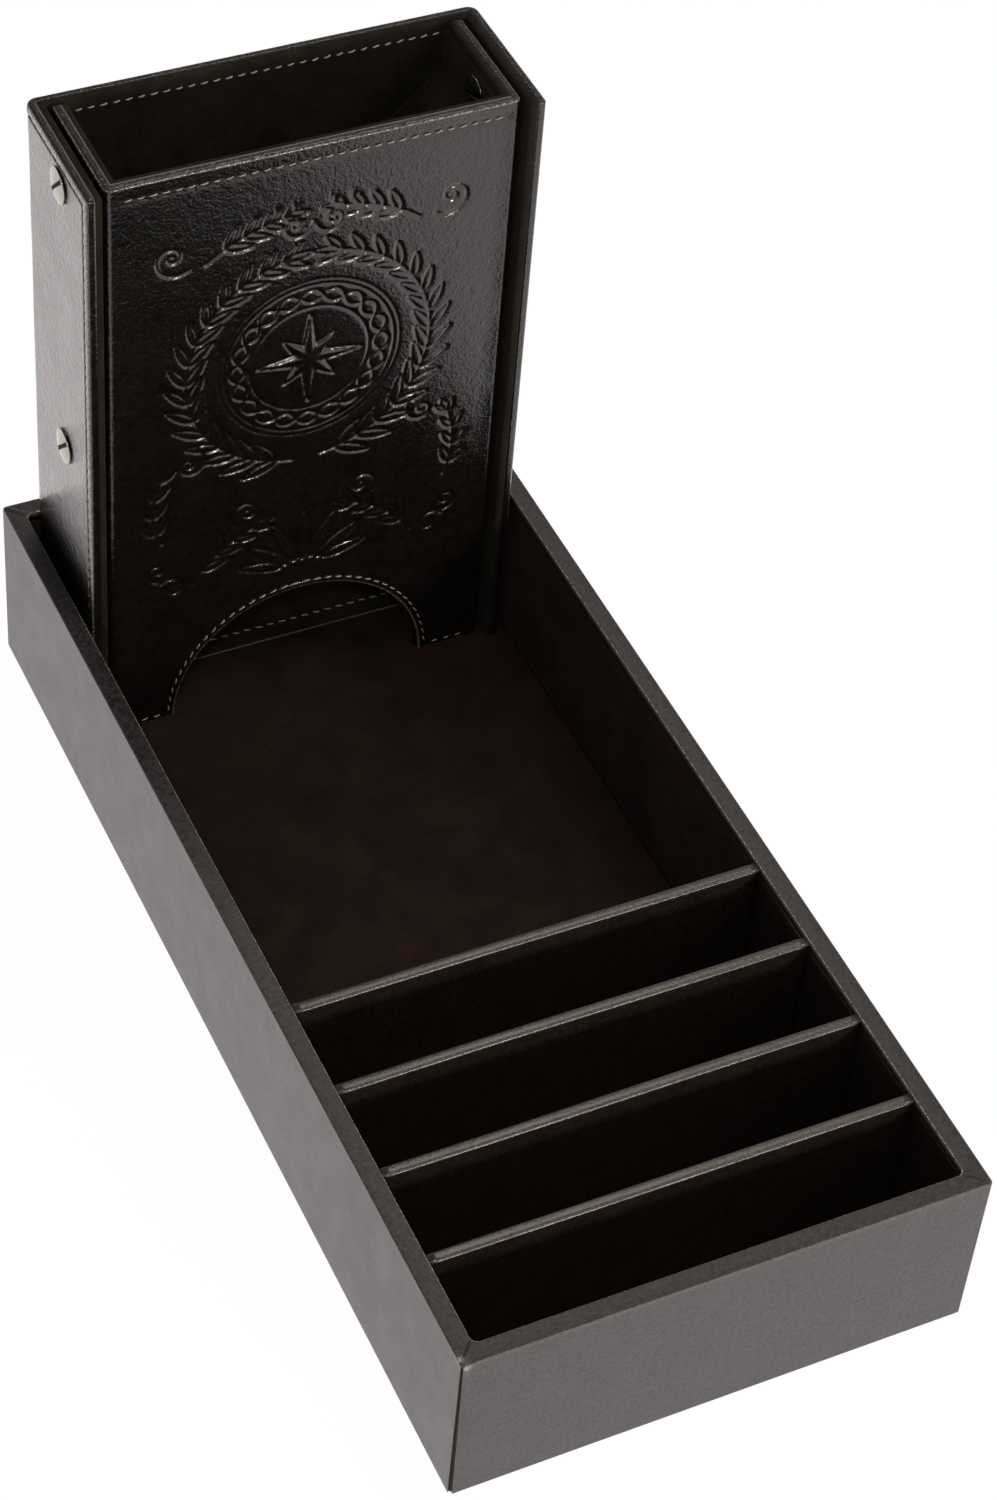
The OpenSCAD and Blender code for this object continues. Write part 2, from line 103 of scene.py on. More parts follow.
# %% From arrays to a mesh
def mesh_piece(name, points, faces, body, material, marks=None, replaces=()):
    """Points in millimetres and arrays of faces become one closed, smooth, outward-facing
    mesh. material is one for all faces or a list with one for each array of them. marks are
    numbers per point that the material reads by name."""
    mesh = bpy.data.meshes.new(name)
    points = np.asarray(points, float).reshape(-1, 3)
    corners = np.concatenate([f.ravel() for f in faces])
    sizes = np.concatenate([np.full(len(f), f.shape[1]) for f in faces])
    mesh.vertices.add(len(points))
    mesh.vertices.foreach_set("co", (points * MM).ravel())
    mesh.loops.add(len(corners))
    mesh.loops.foreach_set("vertex_index", corners)
    mesh.polygons.add(len(sizes))
    mesh.polygons.foreach_set("loop_start", np.concatenate([[0], sizes.cumsum()[:-1]]))
    materials = material if isinstance(material, list) else [material]
    for one in materials:
        mesh.materials.append(one)
    if len(materials) > 1:
        which = np.repeat(np.arange(len(faces)), [len(f) for f in faces])
        mesh.polygons.foreach_set("material_index", which)
    for mark, values in (marks or {}).items():
        layer = mesh.attributes.new(mark, "FLOAT", "POINT")
        layer.data.foreach_set("value", np.asarray(values, np.float32).ravel())
    mesh.update(calc_edges=True)
    soft = bmesh.new()
    soft.from_mesh(mesh)
    bmesh.ops.remove_doubles(soft, verts=soft.verts, dist=WELD)
    bmesh.ops.dissolve_degenerate(soft, edges=soft.edges, dist=WELD)
    bmesh.ops.recalc_face_normals(soft, faces=soft.faces)
    open_edges = sum(not edge.is_manifold for edge in soft.edges)
    soft.to_mesh(mesh)
    soft.free()
    mesh.shade_smooth()
    piece = bpy.data.objects.new(name, mesh)
    bpy.context.scene.collection.objects.link(piece)
    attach(piece, body)
    if replaces:
        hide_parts(*replaces)
    print(f"{name}: {len(mesh.polygons)} faces, {open_edges} open edges")


print("points weld within", WELD / MM, "mm")


# %% Waves, places and humps
def ripples(dimensions, length, waves=5):
    """A gentle unevenness: a function of place that is the mean of a few sine waves about
    length millimetres long, in seeded directions, times the root of their number. It runs
    from about -1 to 1."""
    way = rng.normal(size=(waves, dimensions))
    way *= (2 * np.pi / length / np.linalg.norm(way, axis=1)
            * rng.uniform(0.6, 1.5, waves))[:, None]
    phase = rng.uniform(0, 2 * np.pi, waves)
    return lambda place: np.sin(place @ way.T + phase).mean(-1) * math.sqrt(waves)


def stops(low, high, near, far, zone):
    """Places from low to high: near apart within zone of both ends, far apart between."""
    edge = np.arange(0, zone, near)
    middle = np.linspace(low + zone, high - zone, max(2, round((high - low - 2 * zone) / far)))
    return np.concatenate([low + edge, middle, (high - edge)[::-1]])


def bell(distance, width):
    """A smooth hump that is 1 on a line and fades to nothing about width away: e to the
    minus square of distance / (0.6 width)."""
    return np.exp(-(distance / (0.6 * width)) ** 2)


print("crowded towards the ends:", stops(0, 10, near=0.5, far=3, zone=1))

# %% [markdown]
# ## Finishes
#
# Each finish starts from what the real one is. A flat colour would do from afar, but sheet
# goods are known by their surface, so each has its grain or pile as a pattern of nodes.
# Patterns are scaled in real millimetres and read Object coordinates, so they stay still
# when a piece moves. One function adds any node with its settings and links.

# %% Small helpers for materials
def linear(hex_colour):
    """An sRGB hex colour as linear RGBA."""
    parts = np.array([int(hex_colour[i:i + 2], 16) for i in (1, 3, 5)]) / 255
    low = parts / 12.92
    high = ((parts + 0.055) / 1.055) ** 2.4
    return (*np.where(parts <= 0.04045, low, high), 1.0)


def add(tree, kind, inputs=(), **settings):
    """Adds a node with its settings. inputs gives its sockets, in their order or by name or
    number, a value, a hex colour or a socket to link. A Mix node has the sockets that it
    mixes at 2 and 3 for numbers, at 4 and 5 for vectors and at 6 and 7 for colours."""
    made = tree.nodes.new(kind)
    for name, value in settings.items():
        setattr(made, name, value)
    if not isinstance(inputs, dict):
        inputs = dict(enumerate(inputs))
    for name, value in inputs.items():
        if isinstance(value, bpy.types.NodeSocket):
            tree.links.new(value, made.inputs[name])
        else:
            made.inputs[name].default_value = linear(value) if isinstance(value, str) else value
    return made


def new_material(name):
    """An empty node material: its tree, and its Object coordinates."""
    material = bpy.data.materials.new(name)
    material.use_nodes = True
    tree = material.node_tree
    tree.nodes.clear()
    place = add(tree, "ShaderNodeTexCoord").outputs["Object"]
    return material, tree, place


def per_mm(millimetres):
    """The scale at which a noise pattern's features are that many millimetres across."""
    return 1 / (millimetres * MM)


print("a mid grey in linear light:", round(linear("#808080")[0], 3))

# %% [markdown]
# ## Leatherette
#
# Leatherette is a polyurethane skin pressed with a grain and given a clear top coat. The
# skin itself is nearly black, and what the eye sees is the coat mirroring the room,
# strongest at a glancing angle. That is why the sides of the chest look grey beside a white
# floor while its tops stay dark. A matt grey would look right from one side only, so the
# skin is black here and its coat does the rest. Along edges and folds it is painted pale,
# up to near-white: partly scuffing, partly painted highlights where they catch the lamps.

# %% Leatherette
def leatherette(name, colour, worn, grain, grain_height, roughness, coat, coat_roughness,
                specular):
    """Polyurethane skin with a pebbled grain and a clear coat. colour is the skin between the
    pebbles and worn the colour of their tops; grain is the pebbles' size in millimetres. One
    mark polishes edges and paints them pale, partly scuffing and partly a painted highlight,
    and near-white above 0.9, a painted highlight; the mark "pressed" gives flattened grain."""
    material, tree, place = new_material(name)
    wear_and_glint = add(tree, "ShaderNodeAttribute", attribute_name="wear_and_glint").outputs["Fac"]
    pressed = add(tree, "ShaderNodeAttribute", attribute_name="pressed").outputs["Fac"]
    # Pebbles: a pattern of cells, bent by a little noise
    bend = add(tree, "ShaderNodeTexNoise", {"Vector": place, "Scale": per_mm(4 * grain),
                                            "Detail": 2.0}).outputs["Color"]
    bent = add(tree, "ShaderNodeMix", {0: 0.6 * MM, 4: place, 5: bend},
               data_type="VECTOR").outputs[1]
    cells = add(tree, "ShaderNodeTexVoronoi", {"Vector": bent, "Scale": per_mm(grain)},
                feature="SMOOTH_F1").outputs["Distance"]
    creases = add(tree, "ShaderNodeTexNoise", {"Vector": place, "Scale": per_mm(grain * 0.6),
                                               "Detail": 4.0}).outputs["Fac"]
    relief = add(tree, "ShaderNodeMath", (creases, cells), operation="SUBTRACT").outputs[0]
    # The skin also swells softly over two or three pebbles at a time
    swell = add(tree, "ShaderNodeTexNoise", {"Vector": place, "Scale": per_mm(2.4 * grain),
                                             "Detail": 1.0}).outputs["Fac"]
    relief = add(tree, "ShaderNodeMath", (swell, 1.2, relief),
                 operation="MULTIPLY_ADD").outputs[0]
    left_over = add(tree, "ShaderNodeMapRange", (pressed, 0.0, 1.0, 1.0, 0.25)).outputs[0]
    grained = add(tree, "ShaderNodeMath", (relief, left_over), operation="MULTIPLY").outputs[0]
    bump = add(tree, "ShaderNodeBump", {"Height": grained, "Strength": 1.0,
                                        "Distance": grain_height * MM}).outputs["Normal"]
    # Handling leaves slightly duller and slightly glossier patches, and polishes worn edges
    mottle = add(tree, "ShaderNodeTexNoise", {"Vector": place, "Scale": per_mm(9.0),
                                              "Detail": 3.0}).outputs["Fac"]
    patchy = add(tree, "ShaderNodeMapRange", (mottle, 0.3, 0.7, roughness - 0.05,
                                              roughness + 0.06)).outputs[0]
    rough = add(tree, "ShaderNodeMix", {0: wear_and_glint, 2: patchy, 3: 0.26}).outputs[0]
    tops = add(tree, "ShaderNodeMath", (mottle, 0.35, relief),
               operation="MULTIPLY_ADD").outputs[0]
    share = add(tree, "ShaderNodeMapRange", (tops, 0.45, 1.3, 0.0, 1.0)).outputs[0]
    skin = add(tree, "ShaderNodeMix", {0: share, 6: colour, 7: worn},
               data_type="RGBA").outputs[2]
    # The pale is broken: only the tops that stand proudest take it. Up to 1 it is pale grey,
    # partly scuffing and partly a painted highlight; from 0.9 on it goes near-white, a painted
    # highlight
    broken = add(tree, "ShaderNodeMapRange", (creases, 0.42, 0.6, 0.15, 1.0)).outputs[0]
    scuff_and_glint = add(tree, "ShaderNodeMath", (wear_and_glint, broken), operation="MULTIPLY").outputs[0]
    for low, high, most, pale in ((0.0, 1.0, 0.75, "#a59e94"), (0.9, 2.2, 0.9, "#eeebe6")):
        share = add(tree, "ShaderNodeMapRange", (scuff_and_glint, low, high, 0.0, most)).outputs[0]
        skin = add(tree, "ShaderNodeMix", {0: share, 6: skin, 7: pale},
                   data_type="RGBA").outputs[2]
    shader = add(tree, "ShaderNodeBsdfPrincipled", {
        "Base Color": skin, "Roughness": rough, "Normal": bump, "IOR": 1.5,
        "Specular IOR Level": specular, "Coat Weight": coat,
        "Coat Roughness": coat_roughness, "Coat IOR": 1.5, "Coat Normal": bump})
    add(tree, "ShaderNodeOutputMaterial", {"Surface": shader.outputs[0]})
    return material


# The tray's skin is calendered almost smooth; its grain of 0.35 mm is drawn at 0.6 mm,
# the finest that shows in the picture
tray_leatherette = leatherette("smooth_black_leatherette", "#0b090a", "#3b3638", grain=0.6,
                               grain_height=0.03, roughness=0.55, coat=0.72,
                               coat_roughness=0.42, specular=0.3)
# The tower's skin is pebbled, 0.85 mm from pebble to pebble, with a shinier coat
tower_leatherette = leatherette("pebbled_black_leatherette", "#0a0907", "#161310", grain=0.85,
                                grain_height=0.09, roughness=0.4, coat=1.0,
                                coat_roughness=0.14, specular=0.15)
# The dividers and compartments have a thin satin leatherette, calendered as the tray's is
satin_leatherette = leatherette("satin_lining_leatherette", "#140f0c", "#2a221c", grain=0.6,
                                grain_height=0.03, roughness=0.4, coat=1.0,
                                coat_roughness=0.28, specular=0.4)
print("leatherettes:", len(bpy.data.materials))

# %% [markdown]
# ## Velvet
#
# Velvet is woven with a short standing pile. It drinks light, glows a little where the
# pile is seen from the side, and looks lighter where it is brushed over. Hair by hair it
# would take millions of faces, so the pile is a fine noise and the brushed patches a coarse
# one, with a little sheen at the edges.

# %% Velvet
def velvet_cloth(name, colour, light, sheen):
    """Short pile on a woven back, brushed into soft patches. Its hairs are 0.3 mm apart and
    drawn at 0.45 mm, the finest that shows. One mark gives where the pile is flattened:
    smoother, and painted pale there as a painted highlight."""
    material, tree, place = new_material(name)
    wear_and_glint = add(tree, "ShaderNodeAttribute", attribute_name="wear_and_glint").outputs["Fac"]
    pile = add(tree, "ShaderNodeTexNoise", {"Vector": place, "Scale": per_mm(0.45),
                                            "Detail": 3.0}).outputs["Fac"]
    brushed = add(tree, "ShaderNodeTexNoise", {"Vector": place, "Scale": per_mm(14.0),
                                               "Detail": 3.0, "Distortion": 0.6}).outputs["Fac"]
    both = add(tree, "ShaderNodeMath", (pile, brushed), operation="MULTIPLY").outputs[0]
    shade = add(tree, "ShaderNodeMapRange", (both, 0.1, 0.42, 0.0, 1.0)).outputs[0]
    cloth = add(tree, "ShaderNodeMix", {0: shade, 6: colour, 7: light},
                data_type="RGBA").outputs[2]
    # Flattened pile is painted pale: a painted highlight
    cloth = add(tree, "ShaderNodeMix", {0: wear_and_glint, 6: cloth, 7: "#8a8277"},
                data_type="RGBA").outputs[2]
    rough = add(tree, "ShaderNodeMapRange", (wear_and_glint, 0.0, 1.0, 0.95, 0.35)).outputs[0]
    bump = add(tree, "ShaderNodeBump", {"Height": pile, "Strength": 0.8,
                                        "Distance": 0.12 * MM}).outputs["Normal"]
    shader = add(tree, "ShaderNodeBsdfPrincipled", {
        "Base Color": cloth, "Roughness": rough, "Normal": bump, "Specular IOR Level": 0.2,
        "Sheen Weight": sheen, "Sheen Roughness": 0.35, "Sheen Tint": "#8a7d74"})
    add(tree, "ShaderNodeOutputMaterial", {"Surface": shader.outputs[0]})
    return material


rolling_velvet = velvet_cloth("black_cotton_velvet", "#1e1411", "#35251f", sheen=0.08)
tower_velvet = velvet_cloth("brown_black_velvet", "#100d09", "#2b271f", sheen=0.1)
print("velvets:", rolling_velvet.name, tower_velvet.name)

# %% [markdown]
# ## Metal, thread and board
#
# The posts are turned from brass, nickel plated and tumbled, so they are a pale metal with
# fine scratches; the slot's floor is painted dark and matt, a painted shade. The thread is
# bonded nylon, two plies with a waxy shine; the grey thread's near-white flecks are painted
# highlights.
# The boards inside are fibreboard and greyboard, pressed from fibres that show at a cut
# edge. Small parts need little: one noise in each gives the tarnish, twist or fibre.

# %% Nickel plate
def nickel():
    """Nickel plate, turned and tumbled: a pale metal with fine scratches. A mark paints the
    bottom of the slot dark and matt: painted shade."""
    material, tree, place = new_material("turned_nickel_plate")
    tarnish = add(tree, "ShaderNodeTexNoise", {"Vector": place, "Scale": per_mm(2.5),
                                               "Detail": 4.0}).outputs["Fac"]
    scratch = add(tree, "ShaderNodeTexNoise", {"Vector": place, "Scale": per_mm(0.3),
                                               "Detail": 2.0}).outputs["Fac"]
    slot_shade = add(tree, "ShaderNodeAttribute", attribute_name="slot_shade").outputs["Fac"]
    plate = add(tree, "ShaderNodeMix", {0: tarnish, 6: "#8c8983", 7: "#bab6af"},
                data_type="RGBA").outputs[2]
    # The slot's floor is painted near-black and matt: painted shade
    plate = add(tree, "ShaderNodeMix", {0: slot_shade, 6: plate, 7: "#14120f"},
                data_type="RGBA").outputs[2]
    polish = add(tree, "ShaderNodeMapRange", (tarnish, 0.3, 0.7, 0.16, 0.32)).outputs[0]
    rough = add(tree, "ShaderNodeMix", {0: slot_shade, 2: polish, 3: 0.7}).outputs[0]
    bump = add(tree, "ShaderNodeBump", {"Height": scratch, "Strength": 0.3,
                                        "Distance": 0.02 * MM}).outputs["Normal"]
    shader = add(tree, "ShaderNodeBsdfPrincipled", {
        "Base Color": plate, "Metallic": 1.0, "Roughness": rough, "Normal": bump})
    add(tree, "ShaderNodeOutputMaterial", {"Surface": shader.outputs[0]})
    return material


nickel_plate = nickel()
print("metal:", nickel_plate.name)


# %% Thread and board
def fibrous(name, colour, light, feature, detail, strength, height, roughness, **more):
    """One noise, its features that many millimetres across, sets both the shade between
    two colours and a bump of that height in millimetres."""
    material, tree, place = new_material(name)
    fibre = add(tree, "ShaderNodeTexNoise", {"Vector": place, "Scale": per_mm(feature),
                                             **detail}).outputs["Fac"]
    bump = add(tree, "ShaderNodeBump", {"Height": fibre, "Strength": strength,
                                        "Distance": height * MM}).outputs["Normal"]
    shade = add(tree, "ShaderNodeMix", {0: fibre, 6: colour, 7: light},
                data_type="RGBA").outputs[2]
    shader = add(tree, "ShaderNodeBsdfPrincipled", {"Base Color": shade, "Normal": bump,
                                                    "Roughness": roughness, **more})
    add(tree, "ShaderNodeOutputMaterial", {"Surface": shader.outputs[0]})
    return material


def thread(name, colour, light):
    """Bonded nylon sewing thread: two plies twisted together, with a waxy shine."""
    return fibrous(name, colour, light, 0.4, {"Detail": 1.0}, 0.6, 0.06, 0.22,
                   **{"Specular IOR Level": 0.8})


def pressed_board(name, colour, light, fibre):
    """Board pressed from fibres about that many millimetres long, seen at its cut edges."""
    return fibrous(name, colour, light, fibre, {"Detail": 5.0, "Roughness": 0.7}, 0.5, 0.1, 0.85)


# Grey with near-white flecks: painted highlights that stand in for the glints of glossy thread
glint_grey_thread = thread("grey_bonded_thread", "#5f5b54", "#d6d0c6")
dark_thread = thread("charcoal_bonded_thread", "#24221f", "#3d3a36")
fibreboard = pressed_board("medium_density_fibreboard", "#8a6c4a", "#b3956b", 1.2)
greyboard = pressed_board("recycled_greyboard", "#77736b", "#a5a198", 0.8)
backing_paper = pressed_board("black_backing_paper", "#151514", "#24231f", 0.9)
print("finishes:", len(bpy.data.materials))

# %% [markdown]
# ## The tray's cover
#
# One sheet of smooth leatherette goes round the four board walls, over the rim, a little way
# down inside, and under the base, where it is glued. It could be a box with bevelled edges,
# but a real wrap has a different radius at each edge, a crowned rim, folds that stand up at
# the corners and an open seam where the two ends of the sheet meet. So the sheet is drawn as
# a section (distance in from the outer face, height) that runs round a rectangle whose
# corners are round.

# %% The tray's measures
tray = span("tray_cover")
half_x, half_y, tray_h = tray[1]
floor_box = span("rolling_floor_lining")
wall_lining = span("rolling_wall_lining")
wall_t = half_x - floor_box[1, 0]
lip_t = wall_lining[1, 0] - floor_box[1, 0]
lip_z = wall_lining[1, 2]
tray_skin = 0.8
under_t = 0.4
under_w = 10.0
rim_outer_r = 0.65
rim_inner_r = 0.6
print(f"tray {2 * half_x:.1f} x {2 * half_y:.1f} x {tray_h:.1f} mm, wall {wall_t:.1f} mm")


# %% The cover's section and its run round the tray
def arc(centre, radius, start, end, count):
    """Points on a circle, from one angle to another, in degrees."""
    turn = np.radians(np.linspace(start, end, count))
    return np.stack([centre[0] + radius * np.cos(turn), centre[1] + radius * np.sin(turn)], -1)


def cover_section():
    """The sheet's outer side from under the base, up the face and over the rim to the lip,
    then its inner side back. Returns the distances in, the heights, and which points are on
    the outer side."""
    face_z = stops(rim_outer_r, tray_h - rim_outer_r, near=0.6, far=3.0, zone=1.8)
    crown = np.linspace(rim_outer_r, wall_t - rim_inner_r, 9)
    outside = np.concatenate([
        [[under_w, 0.0], [under_w * 0.6, 0.0], [2.0, 0.0]],
        arc((rim_outer_r, rim_outer_r), rim_outer_r, 270, 190, 6),
        np.stack([np.zeros_like(face_z), face_z], -1),
        arc((rim_outer_r, tray_h - rim_outer_r), rim_outer_r, 170, 90, 9)[:-1],
        np.stack([crown, np.full_like(crown, tray_h)], -1),
        arc((wall_t - rim_inner_r, tray_h - rim_inner_r), rim_inner_r, 80, 0, 8),
        [[wall_t, lip_z + 1.2], [wall_t, lip_z]]])
    inside = [[wall_t - lip_t, lip_z], [wall_t - lip_t, tray_h - tray_skin],
              [tray_skin, tray_h - tray_skin], [tray_skin, tray_h / 2],
              [tray_skin, under_t], [under_w, under_t]]
    inset, height = np.concatenate([outside, inside]).T
    return inset, height, np.arange(len(inset)) < len(outside)


def round_rectangles(inset, corner, straight, bend):
    """For every inset, a closed rectangle of points: four quarter circles of that corner
    radius joined by straight runs whose points crowd towards the corners."""
    hx = half_x - inset[:, None] - corner[:, None]
    hy = half_y - inset[:, None] - corner[:, None]
    turn = np.linspace(0, np.pi / 2, bend)
    arcs = [np.stack([sx * hx + corner[:, None] * np.cos(turn + k * np.pi / 2),
                      sy * hy + corner[:, None] * np.sin(turn + k * np.pi / 2)], -1)
            for k, (sx, sy) in enumerate([(1, 1), (-1, 1), (-1, -1), (1, -1)])]
    ease = (1 - np.cos(np.linspace(0, np.pi, straight + 2)[1:-1])) / 2
    runs = [arcs[k][:, -1:] + (arcs[(k + 1) % 4][:, :1] - arcs[k][:, -1:]) * ease[:, None]
            for k in range(4)]
    return np.concatenate([part for pair in zip(arcs, runs) for part in pair], 1)


inset, height, shows = cover_section()
on_rim = shows & (height > tray_h - 0.01)
print("points in the cover's section:", len(inset))


# %% What wrapping does to the sheet
corner_points = 17
straight_points = 70


def settle(points, ring):
    """The board under the sheet isn't quite flat and the glue pulls it in, so a face sinks
    by a few hundredths. The rim is crowned: it falls with the square of the distance from
    its middle. At the corners the sheet is folded over itself and leaves a low ridge."""
    board_dip, rim_dip, rim_crown, fold_ridge = 0.05, 0.04, 0.05, 0.24
    edge = np.array([half_x, half_y]) - inset[:, None, None]
    way_in = -np.sign(ring) * (np.abs(ring) > edge - 0.01)
    on_face = shows & (inset < 0.01)
    sink = board_dip * np.abs(ripples(3, 60.0)(points)) * on_face[:, None]
    points[..., :2] += way_in * sink[..., None]
    across = np.clip((inset - rim_outer_r) / (wall_t - rim_outer_r - rim_inner_r), 0, 1)
    points[..., 2] -= (rim_crown * (2 * across - 1) ** 2 * on_rim)[:, None]
    points[..., 2] -= rim_dip * np.abs(ripples(3, 40.0)(points)) * on_rim[:, None]
    corner = np.zeros(corner_points + straight_points)
    corner[:corner_points] = np.sin(np.linspace(0, np.pi, corner_points)) ** 2
    points[..., 2] += fold_ridge * np.tile(corner, 4) * on_rim[:, None]


def open_seam(points, ring):
    """A slit down the front left corner, wider towards the bottom: the skin goes in where
    the angle from the corner's middle is smaller than the gap. Returns its share per point."""
    seam_depth, widest, narrowest = 0.75, 0.5, 0.24
    count = ring.shape[1]
    middle = count // 2 + corner_points // 2
    off = np.abs(np.arange(count) - middle) * (np.pi / 2) / (corner_points - 1)
    gap = np.interp(height, [0, tray_h], [widest, narrowest])[:, None]
    upright = shows & (inset < 0.6) & (height < tray_h - 1.2) & (height > -0.05)
    slit = np.exp(-(off / gap) ** 6) * upright[:, None]
    points[..., :2] -= np.sign(ring) / math.sqrt(2) * (seam_depth * slit)[..., None]
    return slit


def fold_lumps(points):
    """The seam's two folded ends stand up as two small lumps under the rim: each a bell in
    all three directions, pushed outwards. Returns how near each point is to one."""
    lump_r = 1.05
    nearest = np.zeros(points.shape[:2])
    for lump, size in (((-half_x + 0.7, -half_y + 1.9, tray_h - 0.2), 0.45),
                       ((-half_x + 1.5, -half_y + 0.2, tray_h - 1.1), 0.5)):
        near = np.exp(-(np.linalg.norm(points - lump, axis=-1) / lump_r) ** 2) * shows[:, None]
        points += (size * near)[..., None] * [-0.6, -0.6, 0.5]
        nearest = np.maximum(nearest, near)
    return nearest


def rim_wear_and_glint(lumps):
    """Painted near-white in broken bits along the rim's inner edge and on the lumps, and pale
    along its outer edge: painted highlights, the outer line partly scuffing; all polished."""
    inner = 2.3 * bell(inset - wall_t + 0.12, 0.22) * (height > tray_h - 0.7)
    outer = 0.25 * bell(inset, 0.6) * bell(height - tray_h + 0.6, 1.0)
    return np.maximum(((inner + outer) * shows)[:, None], 3.0 * lumps ** 2)


print("points round the tray:", 4 * (corner_points + straight_points))


# %% The tray's cover
def tray_cover():
    """The section at every inset of a round rectangle, closed both ways, then wrapped."""
    corner = np.where(shows, np.interp(inset, [0, wall_t, under_w], [1.0, 2.0, 0.6]), 0.4)
    ring = round_rectangles(inset, corner, straight_points, corner_points)
    rise = np.broadcast_to(height[:, None, None], (*ring.shape[:2], 1))
    points = np.concatenate([ring, rise], -1)
    settle(points, ring)
    slit = open_seam(points, ring)
    wear_and_glint = rim_wear_and_glint(fold_lumps(points))
    faces = quads(np.pad(numbered(*slit.shape), ((0, 1), (0, 1)), "wrap"))
    # Inside the seam the faces take the dark backing paper: painted shade in the slit
    shaded_slit = slit.ravel()[faces].min(1) > 0.3
    mesh_piece("wrapped_tray_cover", points, [faces[~shaded_slit], faces[shaded_slit]], "tray",
               [tray_leatherette, backing_paper], {"wear_and_glint": wear_and_glint},
               ["tray_cover"])


tray_cover()

# %% [markdown]
# ## Dividers
#
# A divider is a strip of board with leatherette folded over its top. Along the front top
# edge it is painted pale, partly scuffing and partly a painted highlight. It is a long prism,
# so it is a closed section carried along a path, with its two ends capped. An extrusion
# would be as quick, but the carried section can bow and dip on its way, as folded sheet does.

# %% Sections carried along a path
def carry(section, path, inward):
    """Every point of the section (distance inward, height) at every station of the path."""
    flat = path[:, None, :] + inward[:, None, :] * section[None, :, :1]
    height = np.broadcast_to(section[None, :, 1:], (len(path), len(section), 1))
    return np.concatenate([flat, height], -1)


def capped(rows, columns):
    """Faces of a closed section carried along a path, with an end face at both ends."""
    index = numbered(rows, columns)
    ring = np.concatenate([index, index[:, :1]], 1)
    return [quads(ring), index[:1], index[-1:, ::-1]]


print("a carried square has", sum(len(part) for part in capped(2, 4)), "faces")


# %% Dividers
def divider_cover(number):
    """Leatherette folded over a divider: a closed U section along X. It bows a little more
    the higher it stands, and dips a little along its top."""
    skin, top_r, end_gap, bevel = 0.7, 0.95, 0.25, 0.6
    bow, dip = 0.1, 0.05
    low, high = span(f"divider_cover_{number}")
    thick = high[1] - low[1]
    rise = np.linspace(low[2], high[2] - top_r, 9)
    outside = np.concatenate([
        np.stack([np.zeros(9), rise], -1),
        arc((top_r, high[2] - top_r), top_r, 170, 90, 8),
        arc((thick - top_r, high[2] - top_r), top_r, 80, 0, 8),
        np.stack([np.full(9, thick), rise[::-1]], -1)])
    inner_top = high[2] - skin
    inside = [[thick - skin, low[2]], [thick - skin, inner_top - bevel],
              [thick - skin - bevel, inner_top], [skin + bevel, inner_top],
              [skin, inner_top - bevel], [skin, low[2]]]
    section = np.concatenate([outside, inside])
    shows = np.arange(len(section)) < len(outside)
    x = np.linspace(low[0] + end_gap, high[0] - end_gap, 61)
    path = np.stack([x, np.full_like(x, low[1])], -1)
    points = carry(section, path, np.tile([0.0, 1.0], (len(x), 1)))
    share_up = (section[:, 1] - low[2]) / (high[2] - low[2])
    points[..., 1] += bow * ripples(3, 70.0)(points) * shows * share_up
    points[..., 2] -= dip * np.abs(ripples(3, 30.0)(points)) * (section[:, 1] > high[2] - 0.2)
    # Pale along the front top edge, a little on the top: partly scuffing, partly painted highlight
    edge = bell(np.hypot(section[:, 0] - 0.4, section[:, 1] - high[2] + 0.15), 0.6)
    top = section[:, 1] > high[2] - 0.35
    wear_and_glint = np.tile((0.4 * edge + 0.1 * top) * shows, (len(x), 1))
    mesh_piece(f"folded_divider_cover_{number}", points, capped(*points.shape[:2]), "tray",
               satin_leatherette, {"wear_and_glint": wear_and_glint},
               [f"divider_cover_{number}"])


for number in range(1, 5):
    divider_cover(number)

# %% [markdown]
# ## Wall and floor linings
#
# A wall lining is thin sheet glued to three walls, velvet round the rolling area and
# leatherette round the compartments. It bends round the corners, so its section is carried
# along a U. A floor lining is a flat pad that could be a box, but cloth never lies
# perfectly flat on glue: its top is a height over a grid, uneven, and falling at the edge.

# %% Wall linings
def u_path(x_half, y_open, y_closed, corner, step):
    """A path along three walls with round corners, and its normal towards the walls: the
    right wall, a quarter circle, the closed end, a quarter circle, the left wall."""
    way = np.sign(y_closed - y_open)
    turn = np.radians(np.linspace(0, 90, 7))
    side = np.linspace(y_open, y_closed - way * corner, round(abs(y_closed - y_open) / step))
    end = np.linspace(x_half - corner, -x_half + corner, round(2 * x_half / step))
    cos, sin = np.cos(turn), np.sin(turn)
    x = np.concatenate([np.full_like(side, x_half), x_half - corner + corner * cos[1:-1], end,
                        -x_half + corner - corner * cos[-2:0:-1], np.full_like(side, -x_half)])
    y = np.concatenate([side, y_closed - way * corner * (1 - sin[1:-1]),
                        np.full_like(end, y_closed),
                        y_closed - way * corner * (1 - sin[-2:0:-1]), side[::-1]])
    nx = np.concatenate([np.ones_like(side), cos[1:-1], np.zeros_like(end), -cos[-2:0:-1],
                         -np.ones_like(side)])
    ny = np.concatenate([np.zeros_like(side), sin[1:-1], np.ones_like(end), sin[-2:0:-1],
                         np.zeros_like(side)])
    return np.stack([x, y], -1), np.stack([nx, ny * way], -1)


